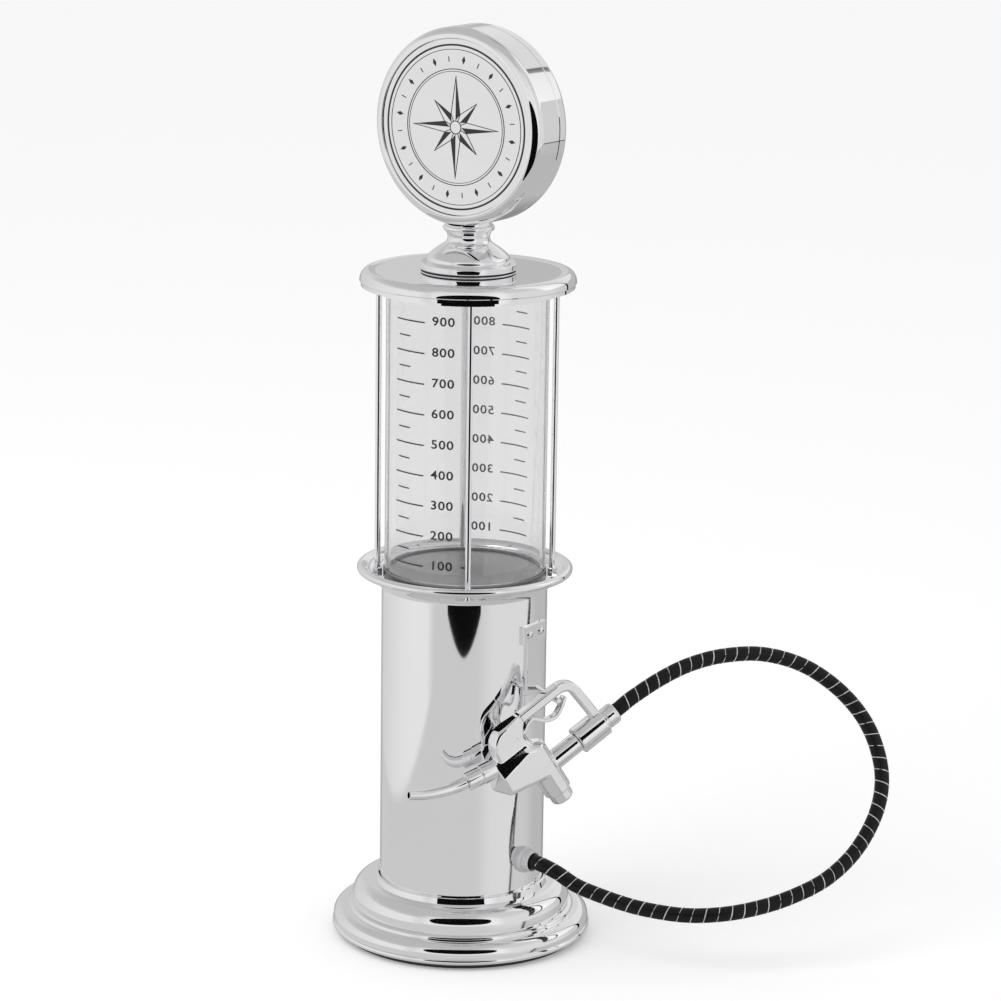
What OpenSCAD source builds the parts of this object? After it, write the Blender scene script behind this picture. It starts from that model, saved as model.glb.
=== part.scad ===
// Table-top drinks dispenser in the shape of an old fuel pump.
// A clear tank stands on a round column, a hose leaves the column low on its right side,
// and a small nozzle gun hangs on a hook above the hose.
// The origin is the middle of the base on the table, +Z is up, the sign faces -Y and the gun is on the +X side.

/* [Base] */
// Radius of the base at its rim
base_r = 71; // [70:0.5:80]
// Share of the way from the column to the rim where the upper step ends
step_share = 0.565; // [0.52:0.005:0.6]
// Height of the groove below that step, above the table
groove_h = 17; // [16:0.5:19]
// Height of the base up to the top of its neck
base_h = 33; // [32:0.5:40]
// Wall of the cast base shell
base_wall = 2; // [1.5:0.1:2.6]
// Thickness of the rubber foot ring
foot_h = 3; // [2.4:0.1:4]
// Thickness of the plate that closes the base
plate_t = 3; // [2.8:0.1:4]

/* [Column] */
// Outer radius of the column
column_r = 45; // [44:0.5:46]
// Wall of the column
column_wall = 1.5; // [1:0.1:2]
// Height of the column above the neck of the base
column_h = 167; // [150:1:190]

/* [Flange] */
// Radius of the dished flange at its lip
flange_r = 58.5; // [57:0.5:64]
// Thickness of the flange floor
flange_t = 4; // [3:0.5:6]
// Depth of the socket that takes the column
flange_socket = 3; // [2:0.5:4]

/* [Tank] */
// Outer radius of the clear tank
tank_r = 43.6; // [40:0.2:44]
// Wall of the clear tank
tank_wall = 2; // [1.5:0.1:3]
// Length of the clear tank
tank_h = 151; // [130:1:180]
// Thickness of the tank floor
floor_t = 2; // [1.5:0.1:4]
// Thickness of the rubber seals at both ends of the tank
seal_t = 1; // [0.6:0.1:2]
// Diameter of the tie rods
rod_d = 3.2; // [2.5:0.1:4]
// Gap between a tie rod and the tank
rod_gap = 2.2; // [1.8:0.1:2.6]
// Turn of the tie rods from the front of the sign
rod_turn = 36; // [30:1:60]

/* [Lid] */
// Radius of the lid
lid_r = 58; // [57:0.5:64]
// Height of the rounded edge of the lid
lid_edge_h = 8.7; // [8:0.1:10]
// Radius of the filler hole
filler_r = 16.5; // [14:0.5:18]
// Radius of the filler ring and of the pedestal foot
foot_r = 26; // [24:0.5:30]

/* [Sign] */
// Radius of the sign
sign_r = 52.5; // [45:0.5:58]
// Depth of the sign from front to back
sign_t = 29.5; // [28.5:0.5:34]
// Depth of the front shell, from the front to the seam
sign_front_t = 20.6; // [18.6:0.2:21]
// Wall of the sign shells
sign_wall = 1.8; // [1.2:0.1:2.5]
// Width of the rim round the face plate
face_rim = 6; // [6:0.5:9]
// Height of the turned pedestal under the sign
pedestal_h = 24; // [24:0.5:34]

/* [Hook] */
// Width of the hook plate
hook_w = 21; // [18:0.5:24]
// Height of the hook plate
hook_h = 10; // [8:0.5:14]
// Distance between the two hook screws
hook_screw_pitch = 10.6; // [8:0.2:12]
// Diameter of the hook peg
peg_d = 3; // [2.6:0.1:3.2]

/* [Hose] */
// Diameter of the hose
hose_d = 8; // [7:0.2:9]
// Bore of the hose
hose_bore = 5; // [3.5:0.1:5.4]
// Distance between two turns of the wire on the hose
rib_pitch = 6.9; // [5:0.1:10]
// Diameter of the wire on the hose, half of it sunk in
wire_d = 0.9; // [0.6:0.1:1.2]
// Height of the gland above the table
gland_h = 50; // [48:0.5:54]
// Turn of the gland from the +X axis towards the front
gland_turn = 7; // [0:1:12]

/* [Gun] */
// Distance from the column to the middle plane of the gun
gun_gap = 15; // [13:0.5:18]
// Turn of the gun plane from the +X axis
gun_turn = 58; // [50:1:70]
// Tilt of the barrel above the horizontal
gun_tilt = 33; // [28:1:38]
// Diameter of the barrel
barrel_d = 11; // [10:0.5:12]
// Diameter of the valve housing
valve_d = 15.5; // [15:0.5:17]
// Diameter of the tail block
block_d = 15.6; // [14:0.2:17]
// Length of the tail block
block_l = 18; // [15:0.5:22]
// Width of the trigger guard
guard_w = 7; // [6:0.5:8]
// Thickness of the trigger guard
guard_t = 4.5; // [3.5:0.25:5]
// Width of the upper cheek of the body
cheek_w = 10; // [9.5:0.5:12]
// Width of the trigger
trigger_w = 5; // [4:0.2:5.2]
// Thickness of the trigger strip
trigger_t = 2; // [1.6:0.1:2.4]
// Outer radius of the spout at the collar
spout_root_r = 3.3; // [3:0.1:3.6]
// Outer radius of the spout at the tip
spout_tip_r = 2.5; // [2.2:0.1:3]

/* [Pump] */
// Diameter of the motor
motor_d = 24; // [20:0.5:28]
// Length of the motor
motor_l = 32; // [26:1:38]
// Diameter of the pump chamber
chamber_d = 29; // [26:0.5:32]
// Height of the pump bracket above the table
bracket_h = 96; // [90:1:104]
// Diameter of one battery
battery_d = 14.5; // [14:0.1:15]
// Length of one battery
battery_l = 50.5; // [49:0.5:51]
// Way of the battery cover
cover_travel = 26; // [20:1:28]
// Way of the power switch
switch_travel = 4; // [3:0.5:5]

/* [Clearances] */
// Radial gap of a turning or sliding fit
running_gap = 0.05; // [0.03:0.01:0.1]
// Gap between pieces that are pushed together
fit_gap = 0.15; // [0.1:0.05:0.25]
// Gap beside a piece that slides
slide_gap = 0.3; // [0.2:0.05:0.4]

/* [Hidden] */
$fn = 96;

// Base values
rim_clear = foot_h + 0.2;
rim_bead_r = 1.8;
ring_w = 2.6;
neck_wall = 2;
neck_flare = 0.8;
neck_h = 3.4;
neck_l = 6;
plate_top = foot_h + plate_t;
plate_r = base_r - base_wall - 2.6;
foot_inner_r = plate_r - 8;
foot_outer_r = plate_r - 1;
boss_r = 3.5;
boss_circle_r = plate_r - 5;
screw_top = groove_h - 6;
boss_count = 4;
base_screw_d = 3;
base_head_d = 5.4;
base_head_h = 1.4;
column_inner_r = column_r - column_wall;
spigot_r = column_inner_r - fit_gap;
spigot_wall = 2.2;
spigot_top = base_h - 12;
neck_inner_r = column_r + fit_gap;
neck_r = neck_inner_r + neck_wall;
groove_r = column_r + (base_r - column_r) * step_share;
lower_round = 0.487 * (base_r - groove_r);
upper_round = 0.72 * (groove_r - neck_r - neck_flare);

// Battery values
battery_count = 3;
battery_gap = 0.4;
box_wall = 1.4;
contact_t = 1.5;
contact_w = 8;
box_inner_x = battery_count * battery_d + (battery_count + 1) * battery_gap;
box_inner_y = battery_l + 2 * contact_t;
box_inner_h = battery_d + 2 * battery_gap;
box_x = box_inner_x + 2 * box_wall;
box_y = box_inner_y + 2 * box_wall;
box_top = plate_top + box_inner_h + box_wall;
cover_t = 1.4;
cover_x = box_inner_x + 2;
cover_y = box_y;
tongue_w = 1.4;
tongue_t = 0.6;
knob_x = 5;
knob_y = 3.6;
switch_y = -column_r - knob_y - 0.4;
knob_out = 0.9;
knob_top_gap = 0.2;
switch_body_h = 5;
wire_lead_d = 1.6;
wire_lead_x = 6;

// Pump values
bracket_t = 2;
bracket_rim_h = 8;
bracket_rim_wall = 1.5;
motor_top = bracket_h - bracket_t;
motor_boss_r = 4;
shaft_d = 2;
shaft_depth = 8;
housing_floor = 2;
housing_wall = 3.5;
chamber_h = 10;
housing_r = chamber_d / 2 + housing_wall;
housing_top = bracket_h + housing_floor + chamber_h;
pump_cover_t = 2.5;
inlet_barb_r = 4;
inlet_bore_r = 2.5;
inlet_barb_h = 11;
outlet_barb_r = 2.6;
outlet_bore_r = 1.7;
outlet_barb_l = 4;
outlet_h = bracket_h + housing_floor + 5;
impeller_r = chamber_d / 2 - 2.5;
impeller_lift = 0.8;
impeller_disc_t = 1.5;
impeller_h = 7.5;
impeller_hub_r = 4;
blade_count = 5;
blade_t = 1.4;
tube_wall = 1.4;
tube_bend_r = 6;
outlet_tube_r = outlet_barb_r + running_gap + tube_wall;
outlet_bend_x = housing_r + outlet_barb_l + 0.2;
outlet_drop_x = outlet_bend_x + tube_bend_r;

// Gland values
gland_flange_r = 8;
gland_flange_t = 3;
gland_step_r = 6;
gland_step_l = 4;
gland_round = 1.2;
gland_thread_r = 5.6;
gland_socket = 8;
gland_nut_t = 3.5;
gland_nut_r = 8;
gland_out_x = column_r + gland_flange_t + gland_step_l;
gland_in_x = column_inner_r - gland_nut_t - 2.2;
gland_tail_x = outlet_drop_x + tube_bend_r;

// Tank stack
flange_z = base_h + column_h;
flange_top = flange_z + flange_t;
flange_hole_r = 30;
flange_flat_r = 50;
flange_lip_r = 2.2;
flange_rise = 2.6;
flange_skirt = 0.8;
floor_top = flange_top + floor_t;
tank_z = floor_top + seal_t;
tank_top = tank_z + tank_h;
lid_z = tank_top + seal_t;
rod_circle_r = tank_r + rod_gap + rod_d / 2;
rod_count = 4;
rod_grip = 5;
rod_nut_r = 2.9;
rod_nut_h = 2.4;
rod_tip_r = 1.9;
rod_tip_h = 0.5;
rod_tip_dome = 0.9;
rod_tip_seat = flange_z + 0.9;
rod_tip_hollow = 0.4;
floor_r = rod_circle_r - rod_nut_r - fit_gap;
drain_r = 4;
drain_l = 13;

// Lid and sign stack
lid_edge_d = 4.5;
lid_edge_lift = 2.5;
lid_ring_h = 2.1;
lid_ring_set = 0.8;
lid_dish = 0.6;
lid_dish_r = lid_r - 12;
lid_wall = 2.4;
lid_crest = lid_z + lid_edge_lift + lid_edge_h;
lid_top = lid_crest - lid_dish;
lid_seat_r = rod_circle_r + rod_d / 2 + 1.2;
filler_wall = 2;
filler_ring_t = 0.4;
filler_top = lid_top + filler_ring_t;
plug_seal_t = 0.8;
plug_seal_r = foot_r - 0.8;
pedestal_z = filler_top + plug_seal_t;
plug_r = filler_r - slide_gap;
plug_wall = 2.6;
plug_l = 9;
neck_bore_r = 5;
neck_bore_h = 10;
sign_z = pedestal_z + pedestal_h + sign_r;
bolt_d = 4;
bolt_head_r = 4;
bolt_head_h = 3;
sign_nut_r = 4;
sign_nut_h = 3;
sign_bead = 5.5;
face_r = sign_r - face_rim;
face_t = 1.6;
face_set_back = 1.1;
seat_w = 3;

// Gun values, in the gun's own frame: x along the barrel towards the hose, z towards the guard, y towards the column
gun_off = column_r + gun_gap;
gun_u = 28.4;
gun_z = 112;
valve_x = -8.5;
nose_x = -31.5;
nose_z = 18.6;
nose_r = 6.8;
spout_pitch = 13.4;
housing_end = -15.5;
cap_end = -21.5;
cap_r = valve_d / 2 - 1.4;
cap_thread_r = valve_d / 2 - 1.8;
cap_thread_l = 4;
valve_bore_r = cap_thread_r;
seat_z = 1.5;
port_r = 3.5;
port_top = 16;
stem_r = 1.5;
bar_z = 30.5;
bar_top = bar_z + guard_t;
bar_start = -4.5;
guard_corner_r = 5.5;
guard_corner_x = 20.5;
arm_lean = 2;
block_x = 15;
block_end = block_x + block_l;
ferrule_l = 8.5;
ferrule_r = 6;
ferrule_lip_r = 5.3;
ferrule_floor = 2;
flow_r = hose_bore / 2;
slot_floor = 20.5;
slot_x = -18;
slot_w = trigger_w + 2 * slide_gap;
pivot = [-13.5, 26.5];
pivot_eye_r = 2.4;
pin_d = 2;
lever_drop = 1.5;
stem_gap = 0.05;
lever_gap = 0.25;
stem_top = pivot[1] - lever_drop - lever_gap;
seal_r = valve_bore_r - 0.8;
seal_disc_t = 2;
spring_wire_d = 0.8;
spring_turns = 4;
spring_r = 3;
collar_l = 17;
collar_root_r = 5.4;
collar_end_r = 4.9;
collar_groove = 0.4;
spout_l = 34;
spout_bend = 29;
spout_wall = 0.8;
spout_rings = 12;

// Hook values
hook_drop = 23;
hook_z = flange_z - hook_drop;
hook_t = 1.2;
strap_w = 14;
hook_head_r = 2.1;
hook_head_h = 1.6;
hook_screw_r = 1.3;
hook_screw_l = 4;
peg_gap = 0.15;
peg_seat = 17;
peg_over = 1.5;
peg_root = 30;

// Points along a round or oval arc from angle a0 to a1
function arc(c, rx, rz, a0, a1, n = 10) =
    [for (i = [0:n]) let (a = a0 + (a1 - a0) * i / n) [c[0] + rx * cos(a), c[1] + rz * sin(a)]];

// Points along a round arc from p to q that swells by s to the right of the way
function swell(p, q, s, n = 8) =
    let (
        d = q - p,
        l = norm(d),
        side = [d[1], -d[0]] / l,
        r = (l * l / 4 + s * s) / (2 * abs(s)),
        m = (p + q) / 2 + side * (s - sign(s) * r),
        half = asin(l / 2 / r),
        mid = atan2(side[1] * sign(s), side[0] * sign(s))
    )
    [for (i = [0:n]) let (a = mid + sign(s) * (2 * i / n - 1) * half) m + r * [cos(a), sin(a)]];

// A point of the gun's frame in the frame of the whole dispenser
function gun_point(x, z, y = 0) =
    let (u = gun_u + x * cos(gun_tilt) - z * sin(gun_tilt), v = y - gun_off)
    [
        u * cos(gun_turn) - v * sin(gun_turn),
        u * sin(gun_turn) + v * cos(gun_turn),
        gun_z + x * sin(gun_tilt) + z * cos(gun_tilt)
    ];

// Middle of the peg, under the guard bar where the gun hangs on it
peg_low = bar_z - peg_d / 2 - peg_gap;
peg_z = gun_point(peg_seat, peg_low)[2];

// Route of the hose: straight out of the gland, round the loop and straight into the ferrule
hose_route = concat(
    [for (x = [gland_out_x - gland_socket, gland_out_x + hose_d / 2]) gland_point(x)],
    [
        [66, -5, 46.5], [75, -2, 41], [84, 0, 38], [102, 4, 34], [118, 8, 32], [136, 15, 31], [152, 25, 32],
        [165, 39, 34], [177, 55, 38], [188, 75, 45], [195, 95, 57], [198, 111, 74],
        [196, 121, 91], [189, 126, 108], [179, 126, 124], [165, 121, 139], [149, 111, 151],
        [133, 95, 158], [119, 76, 159], [108, 59, 156], [99, 44, 150]
    ],
    [for (x = [54, 46, block_end + ferrule_floor + fit_gap]) gun_point(x, 0)]
);
hose_sides = 8;
route_steps = 4;

// Smooth curve through points
function curve_point(p, i, t) =
    let (
        a = p[max(i - 1, 0)],
        b = p[i],
        c = p[i + 1],
        d = p[min(i + 2, len(p) - 1)]
    )
    b + 0.5 * t * (c - a + t * (2 * a - 5 * b + 4 * c - d + t * (3 * (b - c) + d - a)));
function curve(p, n) =
    concat([for (i = [0:len(p) - 2], j = [0:n - 1]) curve_point(p, i, j / n)], [p[len(p) - 1]]);

// Length along a line of points, at each of them
function lengths(p) =
    [for (i = 0, s = 0; i < len(p); s = s + (i + 1 < len(p) ? norm(p[i + 1] - p[i]) : 0), i = i + 1) s];

// Points at given lengths along a line of points
function points_at(p, stops) =
    let (run = lengths(p))
    [for (s = stops) [for (k = [0:2]) lookup(s, [for (i = [0:len(p) - 1]) [run[i], p[i][k]]])]];

// Directions along a line of points, and sides that turn as little as possible from one to the next
function directions(p) =
    [for (i = [0:len(p) - 1]) let (d = p[min(i + 1, len(p) - 1)] - p[max(i - 1, 0)]) d / norm(d)];
function square_to(v, t) = let (w = v - (v * t) * t) w / norm(w);
function sides(t, start) =
    [for (i = 0, v = square_to(start, t[0]); i < len(t); i = i + 1, v = i < len(t) ? square_to(v, t[i]) : v) v];

// Rings of points round a line: radii holds one radius for each point
function rings(p, t, v, radii, n) =
    [
        for (i = [0:len(p) - 1])
            [for (j = [0:n - 1]) let (a = 360 * j / n) p[i] + radii[i] * (cos(a) * v[i] + sin(a) * cross(t[i], v[i]))]
    ];
function flat(list) = [for (part = list, x = part) x];

// A tube with a bore from outer and inner rings of the same number of sides
module ring_tube(outer, inner, n) {
    m = len(outer);
    k = len(inner);
    base = m * n;
    skin = [
        for (i = [0:m - 2], j = [0:n - 1]) let (a = i * n + j, b = i * n + (j + 1) % n)
            each [[b, a, a + n], [b, a + n, b + n]]
    ];
    lining = [
        for (i = [0:k - 2], j = [0:n - 1]) let (a = base + i * n + j, b = base + i * n + (j + 1) % n)
            each [[a, b, a + n], [b, b + n, a + n]]
    ];
    start = [
        for (j = [0:n - 1]) let (a = j, b = (j + 1) % n) each [[a, b, base + b], [a, base + b, base + a]]
    ];
    last = (m - 1) * n;
    last_in = base + (k - 1) * n;
    end = [
        for (j = [0:n - 1]) let (a = j, b = (j + 1) % n)
            each [[last + b, last + a, last_in + b], [last + a, last_in + a, last_in + b]]
    ];
    polyhedron(concat(flat(outer), flat(inner)), concat(skin, lining, start, end));
}

module ring(r_out, r_in, h) {
    difference() {
        cylinder(r = r_out, h = h);
        translate([0, 0, -1]) cylinder(r = r_in, h = h + 2);
    }
}

module around(count, r, turn = 0) {
    for (i = [0:count - 1]) rotate([0, 0, turn + 360 * i / count]) translate([r, 0, 0]) children();
}

// Turns a shape to the side of the column where the hose leaves it
module at_gland() {
    rotate([0, 0, -gland_turn]) children();
}
function gland_point(x) = [x * cos(gland_turn), -x * sin(gland_turn), gland_h];

// Places a shape of the gun's frame, or one with its axis along the spout's collar
module in_gun() {
    rotate([0, 0, gun_turn]) translate([gun_u, -gun_off, gun_z]) rotate([0, -gun_tilt, 0]) children();
}
module along_barrel(x) {
    translate([x, 0, 0]) rotate([0, 90, 0]) children();
}
module along_collar(l = 0) {
    translate([nose_x, 0, nose_z]) rotate([0, spout_pitch - 90, 0]) translate([0, 0, l]) children();
}
module plate_in_gun(w) {
    rotate([90, 0, 0]) translate([0, 0, -w / 2]) linear_extrude(w) children();
}

module foot_ring() {
    color("#202020") ring(foot_outer_r, foot_inner_r, foot_h);
}

module cover_track(gap) {
    // the battery cover with its two tongues, or with a gap the groove that it slides in
    reach = gap > 0 ? cover_travel : 0;
    y0 = -cover_y / 2 - gap;
    l = cover_y + 2 * gap + reach;
    translate([-cover_x / 2 - gap, y0, foot_h - gap]) cube([cover_x + 2 * gap, l, cover_t + gap * 1.5]);
    translate([-cover_x / 2 - tongue_w - gap, y0, foot_h + cover_t - tongue_t - gap / 2])
        cube([cover_x + 2 * tongue_w + 2 * gap, l, tongue_t + gap]);
}

module base_plate() {
    color("#2a2a2c") difference() {
        union() {
            translate([0, 0, foot_h]) cylinder(r = plate_r, h = plate_t);
            translate([0, 0, plate_top]) ring(spigot_r, spigot_r - spigot_wall, spigot_top - plate_top);
        }
        cover_track(slide_gap);
        translate([-box_inner_x / 2, -box_inner_y / 2, 0]) cube([box_inner_x, box_inner_y, plate_top + 1]);
        around(boss_count, boss_circle_r, 45) {
            cylinder(d = base_screw_d + 2 * fit_gap, h = plate_top + 1);
            cylinder(d = base_head_d + 2 * fit_gap, h = foot_h + base_head_h);
        }
        translate([-knob_x / 2 - slide_gap, switch_y - knob_y / 2 - slide_gap, 0])
            cube([knob_x + switch_travel + 2 * slide_gap, knob_y + 2 * slide_gap, plate_top + 1]);
    }
}

module base_shell() {
    lower = [base_r - 0.6 - lower_round, groove_h - 2.5 - lower_round];
    upper = [groove_r - upper_round, base_h - neck_h - upper_round];
    lower_in = lower_round - base_wall;
    upper_in = upper_round - base_wall;
    color("#d8d8da") difference() {
        union() {
            rotate_extrude() polygon(concat(
                [[base_r - base_wall - 1, rim_clear]],
                arc([base_r - rim_bead_r, rim_clear + rim_bead_r], rim_bead_r, rim_bead_r, -90, 60, 7),
                [[lower[0] + lower_round, rim_clear + 2 * rim_bead_r + 0.4]],
                arc(lower, lower_round, lower_round, 0, 90, 8),
                swell([groove_r + ring_w, groove_h - 2.5], [groove_r + 0.8, groove_h - 0.2], 0.6, 5),
                [[groove_r, groove_h]],
                arc(upper, upper_round, upper_round, 0, 90, 10),
                [[neck_r + neck_flare, base_h - neck_h], [neck_r, base_h], [neck_inner_r, base_h], [neck_inner_r, base_h - neck_l]],
                arc(upper, upper_in, upper_in, 84, 0, 8),
                [[groove_r - base_wall, groove_h - 0.5], [groove_r + 0.4, lower[1] + lower_in + 0.6]],
                arc(lower, lower_in, lower_in, 90, 0, 6)
            ));
            intersection() {
                around(boss_count, boss_circle_r, 45) translate([0, 0, plate_top]) cylinder(r = boss_r, h = groove_h);
                rotate_extrude() polygon(concat(
                    [[0, 0], [lower[0] + lower_round - 1, 0]],
                    arc(lower, lower_round - 1, lower_round - 1, 0, 90, 8),
                    [[groove_r + 0.8, groove_h - 3.5], [groove_r - 1, groove_h - 1], [0, groove_h - 1]]
                ));
            }
        }
        around(boss_count, boss_circle_r, 45) cylinder(d = base_screw_d, h = screw_top);
    }
}

module base_screws() {
    color("#a8a8aa") around(boss_count, boss_circle_r, 45) {
        translate([0, 0, foot_h]) cylinder(d = base_head_d, h = base_head_h);
        translate([0, 0, foot_h]) cylinder(d = base_screw_d, h = screw_top - foot_h);
    }
}

module battery_box() {
    color("#38383a") difference() {
        translate([-box_x / 2, -box_y / 2, plate_top]) cube([box_x, box_y, box_top - plate_top]);
        translate([-box_inner_x / 2, -box_inner_y / 2, plate_top - 1]) cube([box_inner_x, box_inner_y, box_inner_h + 1]);
    }
}

module each_battery() {
    for (i = [0:battery_count - 1])
        translate([(i - (battery_count - 1) / 2) * (battery_d + battery_gap), 0, plate_top + battery_gap + battery_d / 2])
            children();
}

module batteries() {
    color("#3a6b45") each_battery() rotate([90, 0, 0]) cylinder(d = battery_d, h = battery_l, center = true);
}

module battery_contacts() {
    color("#c8b878") each_battery() for (side = [-1, 1])
        translate([0, side * (battery_l + contact_t) / 2, 0]) cube([contact_w, contact_t, contact_w], center = true);
}

module battery_cover() {
    color("#2a2a2c") cover_track(0);
}

module switch_body() {
    l = knob_x + switch_travel + 6;
    color("#1c1c1e") translate([-knob_x / 2 - 3, switch_y - knob_y, plate_top]) cube([l, 2 * knob_y, switch_body_h]);
}

module power_switch() {
    color("#b02a20") translate([-knob_x / 2, switch_y - knob_y / 2, foot_h - knob_out])
        cube([knob_x, knob_y, plate_t + knob_out - knob_top_gap]);
}

module wires() {
    color("#b03028") for (x = [-wire_lead_x, wire_lead_x])
        translate([x, 0, box_top]) cylinder(d = wire_lead_d, h = motor_top - motor_l - box_top, $fn = 24);
}

module column_tube() {
    color("#d8d8da") difference() {
        translate([0, 0, plate_top]) ring(column_r, column_inner_r, flange_z - plate_top);
        at_gland() translate([0, 0, gland_h]) rotate([0, 90, 0]) cylinder(r = gland_thread_r + fit_gap, h = column_r + 1);
        for (side = [-1, 1]) translate([0, side * hook_screw_pitch / 2, hook_z]) rotate([0, 90, 0])
            cylinder(r = hook_screw_r + running_gap, h = column_r + 1, $fn = 32);
    }
}

module pump_bracket() {
    color("#46464a") at_gland() difference() {
        translate([0, 0, bracket_h - bracket_rim_h]) cylinder(r = spigot_r, h = bracket_rim_h);
        translate([0, 0, bracket_h - bracket_rim_h - 1])
            cylinder(r = spigot_r - bracket_rim_wall, h = bracket_rim_h - bracket_t + 1);
        cylinder(r = motor_boss_r + fit_gap, h = bracket_h + 1);
        translate([outlet_drop_x, 0, 0]) cylinder(r = outlet_tube_r + 0.6, h = bracket_h + 1);
    }
}

module motor() {
    color("#b4b4b8") difference() {
        union() {
            translate([0, 0, motor_top - motor_l]) cylinder(d = motor_d, h = motor_l);
            translate([0, 0, motor_top]) cylinder(r = motor_boss_r, h = bracket_t);
        }
        translate([0, 0, motor_top - shaft_depth]) cylinder(r = shaft_d / 2 + running_gap, h = shaft_depth + bracket_t + 1);
    }
}

module motor_shaft() {
    z = motor_top - shaft_depth + slide_gap;
    color("#c8c8cc") translate([0, 0, z]) cylinder(d = shaft_d, h = bracket_h + housing_floor + impeller_lift + impeller_h - z);
}

module impeller() {
    color("#e8e4d8") translate([0, 0, bracket_h + housing_floor + impeller_lift]) difference() {
        union() {
            cylinder(r = impeller_r, h = impeller_disc_t);
            cylinder(r = impeller_hub_r, h = impeller_h);
            for (i = [0:blade_count - 1]) rotate([0, 0, 360 * i / blade_count])
                translate([impeller_hub_r - 1, -blade_t / 2, 0]) cube([impeller_r - impeller_hub_r, blade_t, impeller_h - 1]);
        }
        translate([0, 0, -1]) cylinder(d = shaft_d, h = impeller_h + 2);
    }
}

module pump_housing() {
    color("#5a5a60") at_gland() difference() {
        union() {
            translate([0, 0, bracket_h]) cylinder(r = housing_r, h = housing_floor + chamber_h);
            translate([chamber_d / 2, 0, outlet_h]) rotate([0, 90, 0])
                cylinder(r = outlet_barb_r, h = housing_wall + outlet_barb_l);
        }
        translate([0, 0, bracket_h + housing_floor]) cylinder(d = chamber_d, h = chamber_h + 1);
        translate([0, 0, bracket_h - 1]) cylinder(r = shaft_d / 2 + running_gap, h = housing_floor + 2);
        translate([chamber_d / 2 - 2, 0, outlet_h]) rotate([0, 90, 0])
            cylinder(r = outlet_bore_r, h = housing_wall + outlet_barb_l + 3);
    }
}

module pump_cover() {
    color("#6a6a70") difference() {
        union() {
            translate([0, 0, housing_top]) cylinder(r = housing_r, h = pump_cover_t);
            translate([0, 0, housing_top]) cylinder(r = inlet_barb_r, h = pump_cover_t + inlet_barb_h);
        }
        translate([0, 0, housing_top - 1]) cylinder(r = inlet_bore_r, h = pump_cover_t + inlet_barb_h + 2);
    }
}

module feed_tube() {
    z = housing_top + pump_cover_t + fit_gap;
    r = inlet_barb_r + running_gap;
    color("#d0dce0") translate([0, 0, z]) ring(r + tube_wall, r, flange_top - fit_gap - z);
}

// Tube from the pump to the gland: out, down along the column and out again
module outlet_tube_core(r) {
    x0 = housing_r + fit_gap;
    bend_z = outlet_h - tube_bend_r;
    low_z = gland_h + tube_bend_r;
    translate([x0, 0, outlet_h]) rotate([0, 90, 0]) cylinder(r = r, h = outlet_bend_x - x0);
    translate([outlet_bend_x, 0, bend_z]) rotate([90, 0, 0])
        rotate_extrude(angle = 90) translate([tube_bend_r, 0]) circle(r = r, $fn = 48);
    translate([outlet_drop_x, 0, low_z]) cylinder(r = r, h = bend_z - low_z);
    translate([gland_tail_x, 0, low_z]) rotate([90, 0, 0]) rotate([0, 0, 180])
        rotate_extrude(angle = 90) translate([tube_bend_r, 0]) circle(r = r, $fn = 48);
    translate([gland_tail_x, 0, gland_h]) rotate([0, 90, 0]) cylinder(r = r, h = gland_in_x - fit_gap - gland_tail_x);
}

module outlet_tube() {
    inner = outlet_barb_r + running_gap;
    color("#d0dce0") at_gland() difference() {
        outlet_tube_core(outlet_tube_r);
        outlet_tube_core(inner);
    }
}

module on_gland() {
    at_gland() translate([0, 0, gland_h]) rotate([90, 0, 90]) children();
}

module hose_gland() {
    x = column_r + gland_flange_t;
    step_round = gland_round / 2;
    color("#b8b8ba") difference() {
        union() {
            difference() {
                on_gland() rotate_extrude() polygon(concat(
                    [[0, column_r - 1.5], [gland_flange_r, column_r - 1.5]],
                    arc([gland_flange_r - gland_round, x - gland_round], gland_round, gland_round, 0, 90, 6),
                    [[gland_step_r, x]],
                    arc([gland_step_r - step_round, gland_out_x - step_round], step_round, step_round, 0, 90, 4),
                    [[0, gland_out_x]]
                ));
                cylinder(r = column_r + fit_gap / 3, h = flange_z);
            }
            on_gland() rotate_extrude() polygon([
                [0, gland_tail_x], [outlet_barb_r, gland_tail_x], [outlet_barb_r, gland_in_x], [gland_thread_r, gland_in_x],
                [gland_thread_r, column_r + 1], [0, column_r + 1]
            ]);
        }
        on_gland() translate([0, 0, gland_out_x - gland_socket]) cylinder(r = hose_d / 2 + fit_gap, h = gland_socket + 1);
        on_gland() translate([0, 0, gland_tail_x - 1]) cylinder(r = outlet_bore_r, h = gland_out_x);
    }
}

module gland_nut() {
    color("#8c8c90") at_gland() translate([gland_in_x + 0.4, 0, gland_h]) rotate([0, 90, 0]) difference() {
        cylinder(r = gland_nut_r, h = gland_nut_t, $fn = 6);
        translate([0, 0, -1]) cylinder(r = gland_thread_r + fit_gap / 3, h = gland_nut_t + 2);
    }
}

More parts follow.
